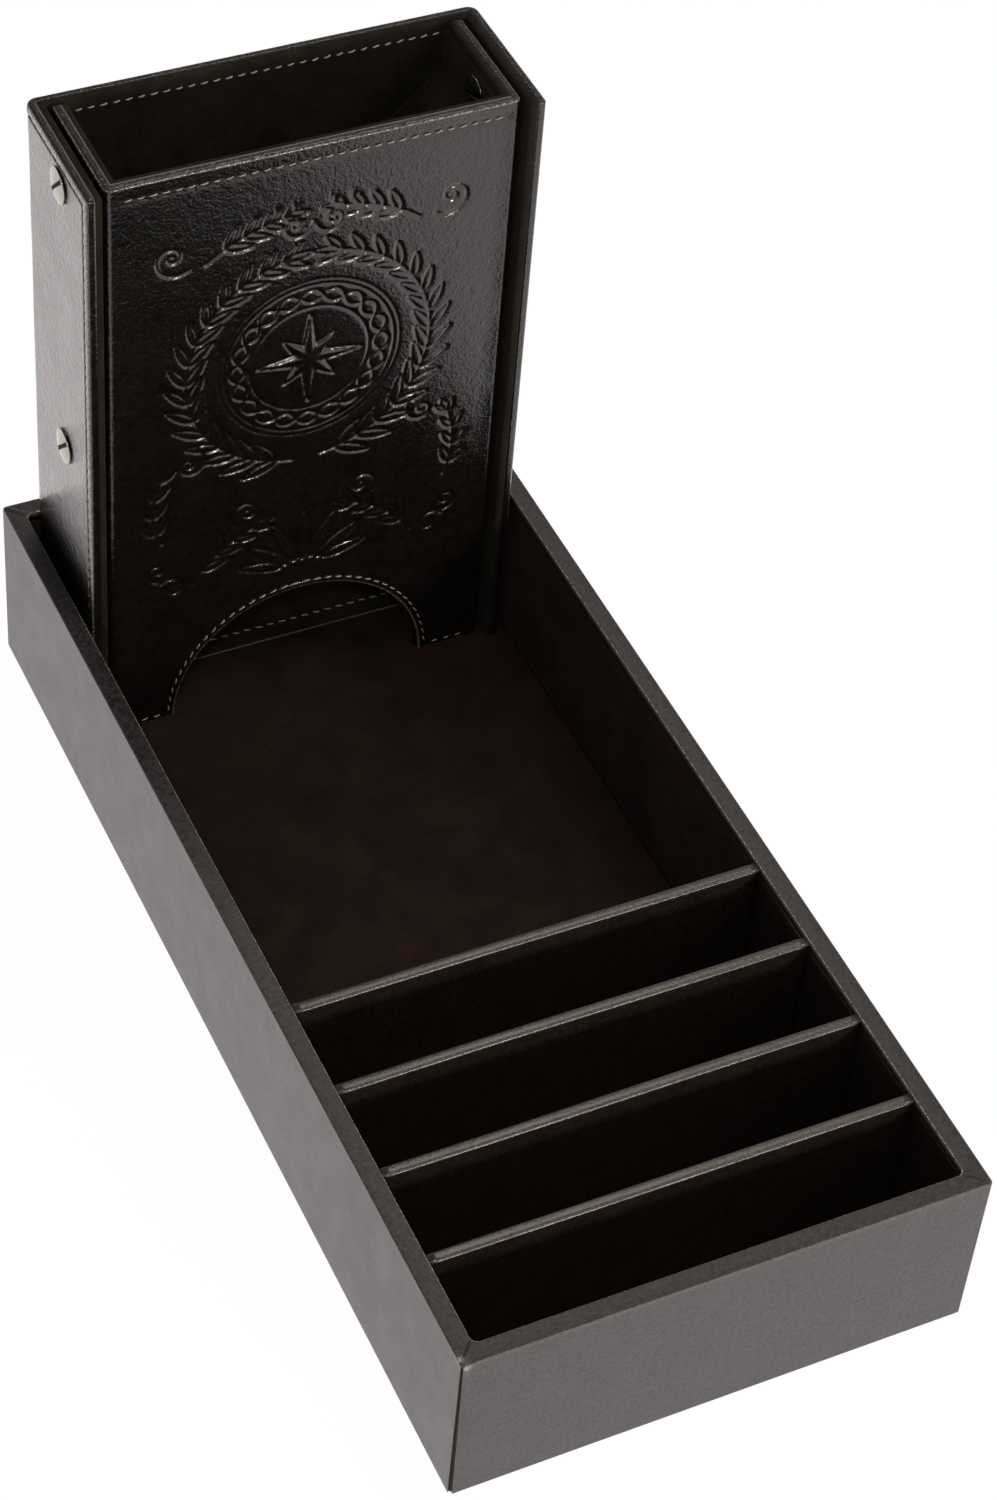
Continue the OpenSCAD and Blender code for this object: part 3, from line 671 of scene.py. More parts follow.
def wall_lining_piece(name, node, y_closed, material):
    """Thin sheet on three walls, its top edge rounded over. Its back lies on the boards."""
    edge, rows, swell = 0.35, 16, 0.08
    low, high = span(node)
    rise = np.linspace(low[2], high[2] - edge, rows)
    section = np.concatenate([
        np.stack([np.zeros(rows), rise], -1),
        arc((edge, high[2] - edge), edge, 165, 90, 5),
        [[lip_t, high[2]], [lip_t, low[2]]]])
    path, outward = u_path(floor_box[1, 0], floor_box[0, 1], y_closed, corner=0.6, step=4.0)
    points = carry(section, path, outward)
    on_face = np.arange(len(section)) < rows
    off_wall = swell * np.abs(ripples(3, 30.0)(points)) * on_face
    points[..., :2] -= outward[:, None, :] * off_wall[..., None]
    mesh_piece(name, points, capped(*points.shape[:2]), "tray", material,
               replaces=[node])


wall_lining_piece("rolling_wall_velvet", "rolling_wall_lining", floor_box[1, 1],
                  rolling_velvet)
wall_lining_piece("compartment_wall_sheet", "compartment_wall_lining",
                  span("compartment_floor_lining_1")[0, 1],
                  satin_leatherette)


# %% Floor linings
def floor_pad(name, node, uneven, step):
    """A thin pad of velvet: an uneven top that falls towards its edges as e to the minus
    distance, straight sides and a flat underside."""
    fall = 0.25
    low, high = span(node)
    gx, gy = np.meshgrid(*(stops(low[k], high[k], near=0.4, far=step, zone=1.2)
                           for k in (0, 1)))
    place = np.stack([gx, gy], -1)
    edge = np.minimum(np.minimum(gx - low[0], high[0] - gx), np.minimum(gy - low[1], high[1] - gy))
    top = high[2] - fall * np.exp(-edge / 0.5) \
        - uneven * np.abs(ripples(2, 24.0)(place)) * (1 - np.exp(-edge))
    index = numbered(*gx.shape)
    rim = np.concatenate([index[0], index[1:, -1], index[-1, -2::-1], index[-2:0:-1, 0]])
    points = np.concatenate([place, top[..., None]], -1).reshape(-1, 3)
    under = points[rim] * [1, 1, 0] + [0, 0, low[2]]
    foot = numbered(len(rim), start=len(points))
    mesh_piece(name, np.concatenate([points, under]),
               [quads(index), band(rim, foot), foot[None, ::-1]], "tray",
               rolling_velvet, replaces=[node])


floor_pad("rolling_floor_velvet", "rolling_floor_lining", uneven=0.07, step=1.6)
for number in range(1, 5):
    floor_pad(f"compartment_floor_velvet_{number}", f"compartment_floor_lining_{number}",
              uneven=0.05, step=2.0)

# %% [markdown]
# ## The tower's two shells
#
# Each shell is a strip of board bent into a U, with leatherette outside and velvet inside.
# Both are turned over every edge until they meet. A Solidify modifier on a bent plane would
# give one thickness and one edge. Unrolled, a shell is a plain rectangle, so it is drawn
# there: a grid whose outer lines run over the edge and down its thickness, like a lid. Only
# the last step bends the rectangle round the U. The same grid, drawn again one skin deeper,
# gives the sheet its thickness.

# %% Bending a flat panel into a U
skin_t = 0.9
edge_r = 0.8
fold_t = 2.4
least_bend_r = 0.4


class Shell:
    """Measures of one shell and its place. u runs round the outside of the U from one free
    edge to the other, v up from the bottom and t through the wall from the outside."""

    def __init__(self, node, wall, corner, closed_y, open_way):
        low, high = span(node)
        self.half = high[0]
        self.depth = high[1] - low[1]
        self.height = high[2] - low[2]
        self.foot = low[2]
        self.wall = wall
        self.corner = corner
        self.closed_y = closed_y
        self.open_way = open_way
        self.face = self.half - corner
        self.arc = corner * np.pi / 2
        self.length = 2 * (self.depth - corner + self.arc + self.face)

    def bend(self, u, v, t):
        """From the flat panel to the U: straight along the closed side, a quarter circle
        round each corner, straight along each flap. The corner's radius shrinks with t."""
        from_middle = u - self.length / 2
        side = np.sign(from_middle)
        far = np.abs(from_middle)
        radius = np.maximum(self.corner - t, least_bend_r)
        face = self.half - t - radius
        turn = np.clip((far - self.face) / self.corner, 0, np.pi / 2)
        along = (far - self.face - self.arc) / (self.depth - self.corner)
        on_face = far <= self.face
        on_side = along > 0
        x = np.where(on_face, far / self.face * face, face + radius * np.sin(turn))
        y = np.where(on_face, t, t + radius * (1 - np.cos(turn)))
        y = np.where(on_side, t + radius + along * (self.depth - t - radius), y)
        return np.stack([side * x, self.closed_y + self.open_way * y, v + self.foot], -1)

    def inside_edge(self, flat):
        """How far a point of the flat panel lies inside the nearest edge."""
        u, v = flat[..., 0], flat[..., 1]
        return np.minimum(np.minimum(u, self.length - u), np.minimum(v, self.height - v))


outer_shell = Shell("outer_cover", wall=4.4, corner=3.0, closed_y=span("outer_cover")[1, 1],
                    open_way=-1)
inner_shell = Shell("inner_cover", wall=4.0, corner=2.0, closed_y=span("inner_cover")[0, 1],
                    open_way=1)
arch_r = 37.4
print(f"unrolled: outer {outer_shell.length:.1f}, inner {inner_shell.length:.1f} mm")

# %% A panel with turned edges
# How far each of a grid's eight outer lines has gone over the edge; see turned
OVER = np.array([2.0, 1.6, 1.3, 1.0, 0.8, 0.6, 0.4, 0.2])
# The four sides of such a grid
LEFT, RIGHT, FOOT, TOP = np.s_[:, 0], np.s_[:, -1], np.s_[0, :], np.s_[-1, :]


def turned(base, over, radius, reach):
    """Carries a point over an edge. Its overshoot runs from 0 to 1 round a quarter circle
    of that radius and from 1 to 2 along the rest of reach. Returns its place on the flat
    panel, its depth below the face and the size of its overshoot."""
    share = np.abs(over).max(-1)
    way = over / np.maximum(np.hypot(over[..., 0], over[..., 1]), 1e-9)[..., None]
    turn = np.minimum(share, 1) * np.pi / 2
    flat = base + way * (radius * np.sin(turn))[..., None]
    depth = radius * (1 - np.cos(turn)) + np.maximum(share - 1, 0) * (reach - radius)
    return flat, depth, share


def with_edges(places, near, length):
    """Places kept at least near from both ends, with the lines that go over each edge, and
    every place's overshoot."""
    lead = np.full(len(OVER), near)
    kept = np.clip(places, near, length - near)
    return (np.concatenate([lead, kept, length - lead]),
            np.concatenate([-OVER, np.zeros(len(places)), OVER[::-1]]))


def block(u, v):
    """A rectangular patch of the panel: a grid of its base places and one of overshoots,
    from (places, overshoots) along each of its two sides."""
    return np.stack(np.meshgrid(u[0], v[0]), -1), np.stack(np.meshgrid(u[1], v[1]), -1)


print("lines that go over each edge:", len(OVER))


# %% The panel round the arch
def arch_patch(shell, u_mid, v_low, near, half_w, top):
    """The patch between the arch and a rectangle round it. Each ray goes from the arch's
    edge, where it also turns over the lip, to a point of the rectangle; rays' angles are
    spread so that the first and last start where the arch meets the hem."""
    rays, rise = 25, 1.3
    (mid, _), (low_rows, low_over) = u_mid, v_low
    count = len(low_rows)
    centre = shell.length / 2
    ends = np.concatenate([
        np.stack([np.full(count, -half_w), low_rows], -1),
        np.stack([mid[1:-1] - centre, np.full(len(mid) - 2, top)], -1),
        np.stack([np.full(count, half_w), low_rows[::-1]], -1)])
    down = np.concatenate([low_over, np.zeros(len(mid) - 2), low_over[::-1]])
    angle = np.arctan2(ends[:, 1], ends[:, 0])
    lowest = np.arctan2(low_rows[0], half_w)
    first = np.arcsin(near / (arch_r + near))
    angle = first + (angle - lowest) / (np.pi - 2 * lowest) * (np.pi - 2 * first)
    way = np.stack([np.cos(angle), np.sin(angle)], -1)
    starts = way * (arch_r + near)
    steps = np.concatenate([np.zeros(len(OVER)), np.linspace(0, 1, rays) ** rise])
    lip = np.concatenate([OVER, np.zeros(rays)])
    base = starts[:, None] + (ends - starts)[:, None] * steps[None, :, None]
    over = -way[:, None] * lip[None, :, None] + np.stack([0 * down, down], -1)[:, None]
    # In the corner between lip and hem the two overshoots act as the sides of a square
    share = np.maximum(lip[None, :], np.abs(down)[:, None])
    size = np.maximum(np.linalg.norm(over, axis=-1), 1e-9)
    return base + [centre, 0], over / size[..., None] * share[..., None]


def panel_patches(shell, columns, rows, near, arch):
    """The panel as one patch or, round an arch, as four: what lies left of it, right of it
    and above it, and the rays. Each comes with the sides of its grid that are edges."""
    u, over_u = with_edges(columns, near, shell.length)
    v, over_v = with_edges(rows, near, shell.height)
    if not arch:
        return [(block((u, over_u), (v, over_v)), (LEFT, RIGHT, FOOT, TOP))]
    half_w, top = arch
    left = u <= shell.length / 2 - half_w + 1e-6
    right = u >= shell.length / 2 + half_w - 1e-6
    high = v >= top - 1e-6
    # Patches share the lines at which they meet
    mid, low = ~(left | right), ~high
    mid[np.flatnonzero(left)[-1]] = mid[np.flatnonzero(right)[0]] = True
    low[np.flatnonzero(high)[0]] = True
    all_v, top_v, low_v = (v, over_v), (v[high], over_v[high]), (v[low], over_v[low])
    mid_u = u[mid], over_u[mid]
    return [(block((u[left], over_u[left]), all_v), (LEFT, FOOT, TOP)),
            (block((u[right], over_u[right]), all_v), (RIGHT, FOOT, TOP)),
            (block(mid_u, top_v), (TOP,)),
            (arch_patch(shell, mid_u, low_v, near, half_w, top), (LEFT, FOOT, TOP))]


print(f"the arch is {2 * arch_r:.1f} mm wide")


# %% The hidden side of a shell's sheet
def hidden_side(grids, columns, shell, arch):
    """Big flat faces behind the sheet, from the vertex numbers of the hidden grids: one per
    flap, a strip of cells round each bend, and one for the closed side."""
    k = len(OVER)
    bends = [shell.depth - shell.corner, shell.depth - shell.corner + shell.arc]
    bends += [shell.length - b for b in bends[::-1]]
    first, first_end, second, second_end = [int(np.abs(columns - b).argmin()) + k
                                            for b in bends]
    left = grids[0]
    if arch:
        _, right, above, fan = grids
        gap = np.full(above.shape[1] - 2, -1)
        top = np.concatenate([left[-1 - k], above[-1 - k, 1:-1], right[-1 - k]])
        foot = np.concatenate([left[k], gap, right[k]])
        before_right = len(top) - right.shape[1]
        under = np.concatenate([left[k, first_end:], fan[k, :k:-1], fan[k:-k, k],
                                fan[-1 - k, k + 1:], right[k, :second - before_right + 1]])
    else:
        right, top, foot = left, left[-1 - k], left[k]
        under = foot[first_end:second + 1]
    last = len(top) - k - 1
    flap_one = np.concatenate([left[k:-k, k], top[k + 1:first + 1], foot[first:k:-1]])
    flap_two = np.concatenate([right[k:-k, -1 - k], top[last - 1:second_end - 1:-1],
                               foot[second_end:last]])
    closed = np.concatenate([under, top[first_end:second + 1][::-1]])
    round_bends = [strip(foot[start:end + 1], top[start:end + 1])
                   for start, end in ((first, first_end), (second, second_end))]
    return [flap_one[None], flap_two[None, ::-1], *round_bends, closed[None]]


print("a hidden side keeps", skin_t, "mm from its sheet's edges")


# %% Shell panels: leatherette outside, velvet inside
def no_marks(flat, share):
    """No painted highlight, and nothing pressed."""
    return np.zeros((*share.shape, 2))


def shell_piece(name, shell, columns, rows, outside, relief, marks, material, replaces,
                back_t, arch=None):
    """One sheet of a shell. Seen from its own face, outside or inside, it turns over every
    edge; back_t is the depth of its hidden side, where it is glued to the board. relief
    gives how deep each point of the face lies, marks where it is polished and painted pale as
    a painted highlight, and how hard it is pressed."""
    sign = 1 if outside else -1
    face_t = 0.0 if outside else shell.wall
    reach = fold_t if outside else shell.wall - fold_t
    # Its face, then its hidden side: radius and inset of the edge, depth, and reach over it
    levels = ((edge_r, 0.0, face_t, reach), (0.1, skin_t, face_t + sign * back_t, reach - back_t))
    points, worn, grids, shares, start = [], [], [], [], 0
    for radius, inset, at, far in levels:
        for (base, over), edges in panel_patches(shell, columns, rows, inset + radius, arch):
            flat, depth, share = turned(base, over, radius, far)
            t = at + sign * depth
            on_face = inset == 0
            if on_face:
                t = t + relief(flat, share)
            worn.append((marks if on_face else no_marks)(flat, share).reshape(-1, 2))
            points.append(shell.bend(flat[..., 0], flat[..., 1], t).reshape(-1, 3))
            grids.append((numbered(*share.shape, start=start), edges))
            shares.append(share)
            start += share.size
    wear_and_glint, pressed = np.concatenate(worn).T
    half = len(grids) // 2
    hidden = [index for index, _ in grids[half:]]
    # The face, every cell of it; of the hidden side only the cells over the edges
    faces = [quads(index) for index, _ in grids[:half]]
    for index, share in zip(hidden, shares[half:]):
        beyond = share.ravel()[quads(numbered(*share.shape))].max(1) > 0
        faces.append(quads(index)[beyond][:, ::-1])
    # Strips that join the two along the turned edges' ends
    for (index, edges), under in zip(grids, hidden):
        faces += [strip(index[edge], under[edge]) for edge in edges]
    faces += hidden_side(hidden, columns, shell, arch)
    mesh_piece(name, np.concatenate(points), faces, "tower", material,
               {"wear_and_glint": wear_and_glint, "pressed": pressed}, replaces)


print("shell maker ready")

# %% [markdown]
# ## The outer shell
#
# Its leatherette is sewn all round, about 3 mm from the edge. The thread pulls the skin down
# into a groove, and what lies between groove and edge stands up as a soft roll. That roll
# and the groove are part of the surface here, because they show as a light and a dark line,
# which a bump map would lose at the panel's outline.

# %% The outer cover and its lining
# How far in from the edge the groove and the roll's middle lie
groove_in = 3.1
roll_in = 1.6
groove_deep = 0.68
stitch_pitch = 3.5
outer_waves = ripples(2, 55.0)
pile_waves = ripples(2, 26.0)


def outer_relief(flat, share):
    """A groove under the stitches, a roll beside it that puckers between them, a face a
    little lower than the roll, and slight waves."""
    groove_pucker, roll_pucker, face_drop, wave = 0.1, 0.09, 0.16, 0.06
    inside = outer_shell.inside_edge(flat)
    u, v = flat[..., 0], flat[..., 1]
    upright = np.minimum(u, outer_shell.length - u) < np.minimum(v, outer_shell.height - v)
    pucker = np.cos(2 * np.pi / stitch_pitch * np.where(upright, v, u))
    groove = (groove_deep + groove_pucker * pucker) * bell(inside - groove_in, 0.7) \
        - roll_pucker * pucker * bell(inside - roll_in, 1.8)
    face = face_drop / (1 + np.exp(-(inside - groove_in) / 0.4))
    waves = wave * np.abs(outer_waves(flat)) * (1 - np.exp(-np.maximum(inside - groove_in, 0)))
    return np.where(share > 0, 0.0, groove + face + waves)


def outer_marks(flat, share):
    """Polished and painted pale to near-white along the rounded edge: a painted
    highlight. Nothing pressed.
    """
    return np.stack([1.3 * bell(share - 0.3, 0.4) * (share > 0), 0 * share], -1)


def pile_relief(flat, share):
    """Velvet swells softly between its edges, towards the eye."""
    swell = 0.08
    return swell * np.abs(pile_waves(flat)) * (share == 0)


def with_bends(shell, places):
    """Adds the lines where the U bends, and lines round each bend, to the columns."""
    start = shell.depth - shell.corner
    bend = np.linspace(start, start + shell.arc, 9)
    keep = places[(np.abs(places - bend[:, None]).min(0) > 0.3)
                  & (np.abs(places - (shell.length - bend[:, None])).min(0) > 0.3)]
    return np.sort(np.concatenate([keep, bend, shell.length - bend]))


def outer_sheet(name, outside, relief, marks, slot, material, replaces, back_t, **spacing):
    """A sheet of the outer shell on an even grid, which is finer near the edges."""
    columns, rows = (stops(edge_r, size - edge_r, **spacing)
                     for size in (outer_shell.length, outer_shell.height))
    shell_piece(name, outer_shell, with_bends(outer_shell, columns), rows, outside, relief,
                marks, material, replaces, back_t)


outer_sheet("sewn_outer_cover", True, outer_relief, outer_marks, "tower_leatherette",
            tower_leatherette, ["outer_cover"], skin_t, near=0.3, far=1.1, zone=5.4)
outer_sheet("outer_velvet_lining", False, pile_relief, no_marks, "velvet", tower_velvet,
            ["outer_lining"], 1.2, near=1.0, far=3.0, zone=5.0)

# %% [markdown]
# ## The ornament on the front panel
#
# The front carries a pressed ornament. It is a generic one: a star in a braided ring, held
# by two leafy branches, with a palmette below and scrolls in the corners. A heated plate
# presses such a pattern, so its lines are grooves about 0.8 mm wide with soft shoulders. It
# could be a bump map, but then it would have no edge of its own, so it is worked out as a
# height for every point: each motif is a distance to a curve, given by a formula.

# %% Distances to the ornament's curves
star_v = 120.0
ring_mid = 20.5
branch_r = 34.5
press = 0.42
line_w = 0.75


def to_segment(x, y, start, end):
    """Distance from points to a straight segment."""
    way = np.subtract(end, start)
    share = np.clip(((x - start[0]) * way[0] + (y - start[1]) * way[1]) / (way @ way), 0, 1)
    return np.hypot(x - start[0] - share * way[0], y - start[1] - share * way[1])


def polar(radius, degrees):
    """A point at that distance and angle."""
    return radius * math.cos(math.radians(degrees)), radius * math.sin(math.radians(degrees))


def turned_to(x, y, cx, cy, degrees):
    """Coordinates round another centre, turned."""
    c, s = polar(1, degrees)
    return (x - cx) * c + (y - cy) * s, -(x - cx) * s + (y - cy) * c


def arc_height(x, y, radius, low, high):
    """A groove along part of a circle, between two angles in degrees."""
    angle = np.degrees(np.arctan2(y, x))
    return -press * bell(np.hypot(x, y) - radius, line_w) * (angle > low) * (angle < high)


print(f"a groove is {-arc_height(5.0, 0.0, 5.0, -90, 90):.2f} mm deep")


# %% Star, braid, scroll and leaf
def star_height(x, y, long=14.6, short=10.0, notch=4.6):
    """An eight-point star folded into one eighth: its outline as a groove, its points as
    facets that fall from a ridge along the middle of each."""
    ridge, fall = 0.42, 0.22
    angle = np.abs((np.degrees(np.arctan2(y, x)) + 45) % 90 - 45)
    radius = np.hypot(x, y)
    fx, fy = radius * np.cos(np.radians(angle)), radius * np.sin(np.radians(angle))
    tips = polar(long, 0), polar(notch, 22.5), polar(short, 45)
    outline = np.minimum(to_segment(fx, fy, tips[0], tips[1]), to_segment(fx, fy, tips[1], tips[2]))
    spine = np.minimum(to_segment(fx, fy, (0, 0), tips[0]), to_segment(fx, fy, (0, 0), tips[2]))
    inside = [(fx - tip[0]) * edge[1] - (fy - tip[1]) * edge[0] < 0
              for tip, edge in zip(tips, np.diff(tips, axis=0))]
    facet = np.clip(ridge - fall * spine, 0, ridge) * np.where(angle < 22.5, *inside)
    return facet - press * bell(outline, line_w) * (radius > 2)


def braid_height(x, y, lobes=20, swing=2.0):
    """Two sine waves that cross as they run round a ring. Where one passes under, its
    groove fades."""
    angle, radius = np.arctan2(y, x), np.hypot(x, y)
    wave = swing * np.cos(lobes / 2 * angle)
    slope = np.sqrt(1 + (swing * lobes / 2 / ring_mid * np.sin(lobes / 2 * angle)) ** 2)
    one = bell((radius - ring_mid - wave) / slope, line_w)
    two = bell((radius - ring_mid + wave) / slope, line_w)
    over = 0.5 + 0.5 * np.sign(np.sin(lobes / 2 * angle))
    crossing = bell(wave, 0.9)
    return -press * np.maximum(one * (1 - crossing * over), two * (1 - crossing * (1 - over)))


def scroll_height(x, y, size, turns=1.9, tight=0.21):
    """A scroll: the spiral radius = size * exp(-tight * angle), a groove that thins as it
    winds in."""
    angle, radius = np.arctan2(y, x), np.maximum(np.hypot(x, y), 1e-3)
    wound = np.log(size / radius) / tight
    place = angle + 2 * np.pi * np.round((wound - angle) / (2 * np.pi))
    away = np.abs(wound - place) * radius * tight
    on = (place > -0.5) & (place < turns * 2 * np.pi)
    return -press * bell(away, line_w) * on * np.clip(radius / 1.2, 0, 1)


def leaf_height(x, y, length, width):
    """A leaf along X: two arcs that meet in points, a raised blade and a pressed rib. Its
    half width is 1.3 width * share^0.75 * (1 - share) at that share of its length."""
    blade_rise, rib_deep = 0.12, 0.24
    share = np.clip(x / length, 0, 1)
    half = 1.3 * width * share ** 0.75 * (1 - share)
    blade = blade_rise * np.clip(1 - (np.abs(y) / np.maximum(half, 1e-3)) ** 2, 0, 1)
    rib = rib_deep * bell(y, 0.6) * (share < 0.8)
    outline = press * bell(np.abs(np.abs(y) - half), line_w)
    return (blade - rib - outline) * ((x > 0) & (x < length))


print("star and ring at", star_v, "mm")


# %% The whole ornament
# Branches: centre, radius, first and last angle, number of leaf pairs, leaf length and width
branches = ((0, star_v, branch_r, -84, 76, 15, 11.2, 3.3), (0, star_v, 48.5, 52, 80, 4, 9, 2.8),
            (0, 30, 37.5, 30, 66, 4, 9, 2.9), (12, 78, 31.5, -22, 20, 4, 7.5, 2.6))
# Scrolls: centre, turn and size
scrolls = ((38.5, 163, 250, 6.0), (5.2, 164.5, 200, 4.6), (33.5, 92.5, 140, 5.0),
           (38, 49.5, 60, 4.0), (42.5, 57, 235, 4.4), (16.5, 70.5, -20, 4.8))
# The palmette's leaves, above the arch: start, turn, length and width
palmette = [(0, 48.0, 90, 19, 5.6), (2.0, 48.0, 64, 18, 5.0), (4.0, 47.5, 38, 16, 4.4),
            (5.6, 47.0, 14, 14, 3.8)]


def leaves_of_ornament():
    """Every leaf on the right half: where it starts, its turn, its length and width. A
    branch's pairs of leaves lean out from it and shrink along it; one more leaf ends it."""
    stalk, lean, shrink = 8, 34, 0.3
    leaves = list(palmette)
    for cx, cv, radius, first, last, pairs, length, width in branches:
        for at in np.linspace(first + stalk, last, pairs):
            size = 1 - shrink * (at - first) / (last - first)
            start = np.add(polar(radius, at), (cx, cv))
            leaves += [(*start, at + 90 + side, length * size, width * size)
                       for side in (-lean, lean)]
        leaves.append((*start, last + 94, 0.8 * length, 0.8 * width))
    return leaves


def ornament(x, v):
    """Height of the pressed ornament in millimetres, and where its plate pressed: the
    lowest groove plus the highest relief at every point, mirrored about the middle."""
    x = np.abs(x)
    y = v - star_v
    radius = np.hypot(x, y)
    star = star_height(x, y)
    grooves = [braid_height(x, y), star]
    grooves += [arc_height(x - cx, v - cv, arc_r, first, last)
                for cx, cv, arc_r, first, last, *_ in branches]
    grooves += [-deep * bell(radius - ring_mid - off, 0.7)
                for off, deep in ((-3.6, 0.3), (3.6, 0.3), (5.2, 0.2))]
    grooves += [scroll_height(*turned_to(x, v, cx, cv, turn), size)
                for cx, cv, turn, size in scrolls]
    low, high = np.minimum.reduce(grooves), np.maximum(star, 0)
    for cx, cv, turn, length, width in leaves_of_ornament():
        leaf = leaf_height(*turned_to(x, v, cx, cv, turn), length, width)
        low, high = np.minimum(low, leaf), np.maximum(high, leaf)
    pressed = np.clip(np.abs(high + low) / 0.15, 0, 1)
    disc = 1 / (1 + np.exp((radius - ring_mid - 5.5) / 0.4))
    return high + low, np.maximum(pressed, 0.5 * disc)


print("leaves on each half:", len(leaves_of_ornament()))

# %% The inner cover's face
stitch_top = 4.4
stitch_arch = 2.0


def front_relief(flat, share):
    """Ornament, the two stitch grooves and the slight pillow of the padded front."""
    top_groove, low_groove, top_roll, arch_roll, face_drop, wave = 0.25, 0.22, 0.12, 0.1, 0.12, 0.05
    x, v = flat[..., 0] - inner_shell.length / 2, flat[..., 1]
    on_front = np.abs(x) < inner_shell.face
    height, _ = ornament(x, v)
    top = inner_shell.height - v
    round_arch = np.hypot(x, v) - arch_r
    hem = np.where(np.abs(x) > arch_r + stitch_arch, v, np.inf)
    low_line = np.minimum(np.abs(round_arch - stitch_arch), np.abs(hem - stitch_arch))
    grooves = top_groove * bell(top - stitch_top, 0.5) + low_groove * bell(low_line, 0.5)
    rolls = top_roll * bell(top, 3.2) + arch_roll * bell(round_arch, 1.6)
    waves = wave * np.abs(outer_waves(flat))
    depth = face_drop + waves + grooves - rolls - height
    return np.where((share > 0) | ~on_front, 0.0, depth)


def front_marks(flat, share):
    """Polished and painted pale to near-white along the folded edges: a painted highlight.
    Pressed where the ornament is.
    """
    x, v = flat[..., 0] - inner_shell.length / 2, flat[..., 1]
    rub_and_glint = 1.5 * bell(share - 0.4, 0.3) * (share > 0)
    on_front = (np.abs(x) < inner_shell.face) & (share == 0)
    return np.stack([rub_and_glint, ornament(x, v)[1] * on_front], -1)


print(f"the star's middle stands {ornament(0.0, star_v)[0]:.2f} mm proud")

# %% The inner cover and its lining
fine = 0.45
ornament_top = 170.0
# Half the width and the height of the rectangle round the arch
arch_zone = (47.0, 45.0)
mid_u = inner_shell.length / 2


def round_arch_columns(outer_part, count):
    """Columns of the inner shell: count even ones across the arch's rectangle, and on both
    sides the places of outer_part."""
    across = mid_u + np.linspace(-arch_zone[0], arch_zone[0], count)
    return with_bends(inner_shell, np.concatenate([
        outer_part[:-1], across, (inner_shell.length - outer_part[::-1])[1:]]))


far_edge = mid_u - arch_zone[0]
shell_piece("embossed_inner_cover", inner_shell,
            round_arch_columns(stops(edge_r, far_edge, 1.5, 9.0, 3.0),
                               round(2 * arch_zone[0] / fine) + 1),
            np.concatenate([
                np.linspace(edge_r, arch_zone[1], 22)[:-1],
                np.linspace(arch_zone[1], ornament_top,
                            round((ornament_top - arch_zone[1]) / fine))[:-1],
                np.linspace(ornament_top, inner_shell.height - edge_r, 16)]),
            True, front_relief, front_marks, tower_leatherette,
            ["inner_cover"], skin_t, arch=arch_zone)
shell_piece("inner_velvet_lining", inner_shell,
            round_arch_columns(stops(edge_r, far_edge, 1.0, 3.0, 4.0), 49),
            np.concatenate([np.linspace(edge_r, arch_zone[1], 20)[:-1],
                            np.linspace(arch_zone[1], inner_shell.height - edge_r, 50)]),
            False, pile_relief, no_marks, tower_velvet, ["inner_lining"], 1.0,
            arch=arch_zone)

# %% [markdown]
# ## Stitching
#
# The seams are lock-stitched: on each face a row of short dashes whose ends dive into the
# sheet, each a little aslant. They are built, not painted, because each one catches its own
# glint. A dash is a bar with six sides that thins towards both ends. It lies in the groove
# that its own thread pulls into the sheet.

# %% Rows of stitches
def along(line, pitch):
    """Places about every pitch millimetres along a line of points, and the way there."""
    steps = np.diff(line, axis=0)
    lengths = np.hypot(*steps.T)
    reach = np.concatenate([[0], lengths.cumsum()])
    count = round(reach[-1] / pitch)
    at = (np.arange(count) + 0.5) * reach[-1] / count
    place = np.stack([np.interp(at, reach, line[:, k]) for k in (0, 1)], -1)
    segment = np.searchsorted(reach, at) - 1
    return place, steps[segment] / lengths[segment][:, None]


def stitch_ends(line, pitch, dash, slant):
    """Both ends of every stitch along a line, each turned aslant by that many degrees."""
    place, way = along(np.asarray(line, float), pitch)
    turn = np.radians(slant + rng.normal(0, 2.0, len(place)))
    way = np.stack([way[:, 0] * np.cos(turn) - way[:, 1] * np.sin(turn),
                    way[:, 0] * np.sin(turn) + way[:, 1] * np.cos(turn)], -1)
    half = dash / 2 * rng.uniform(0.92, 1.05, (len(place), 1))
    return place - way * half, place + way * half


def on_shell(shell, line, pitch, dash, slant, t, outward):
    """A row of stitches at depth t of a shell: their two ends and the way out of it."""
    one, two = stitch_ends(line, pitch, dash, slant)
    lift = 0.2
    ends = [shell.bend(e[:, 0], e[:, 1], np.full(len(e), t)) for e in (one, two)]
    low, high = [shell.bend(*((one + two) / 2).T, np.full(len(one), t - shift * outward))
                 for shift in (0.0, lift)]
    return *ends, (high - low) / lift


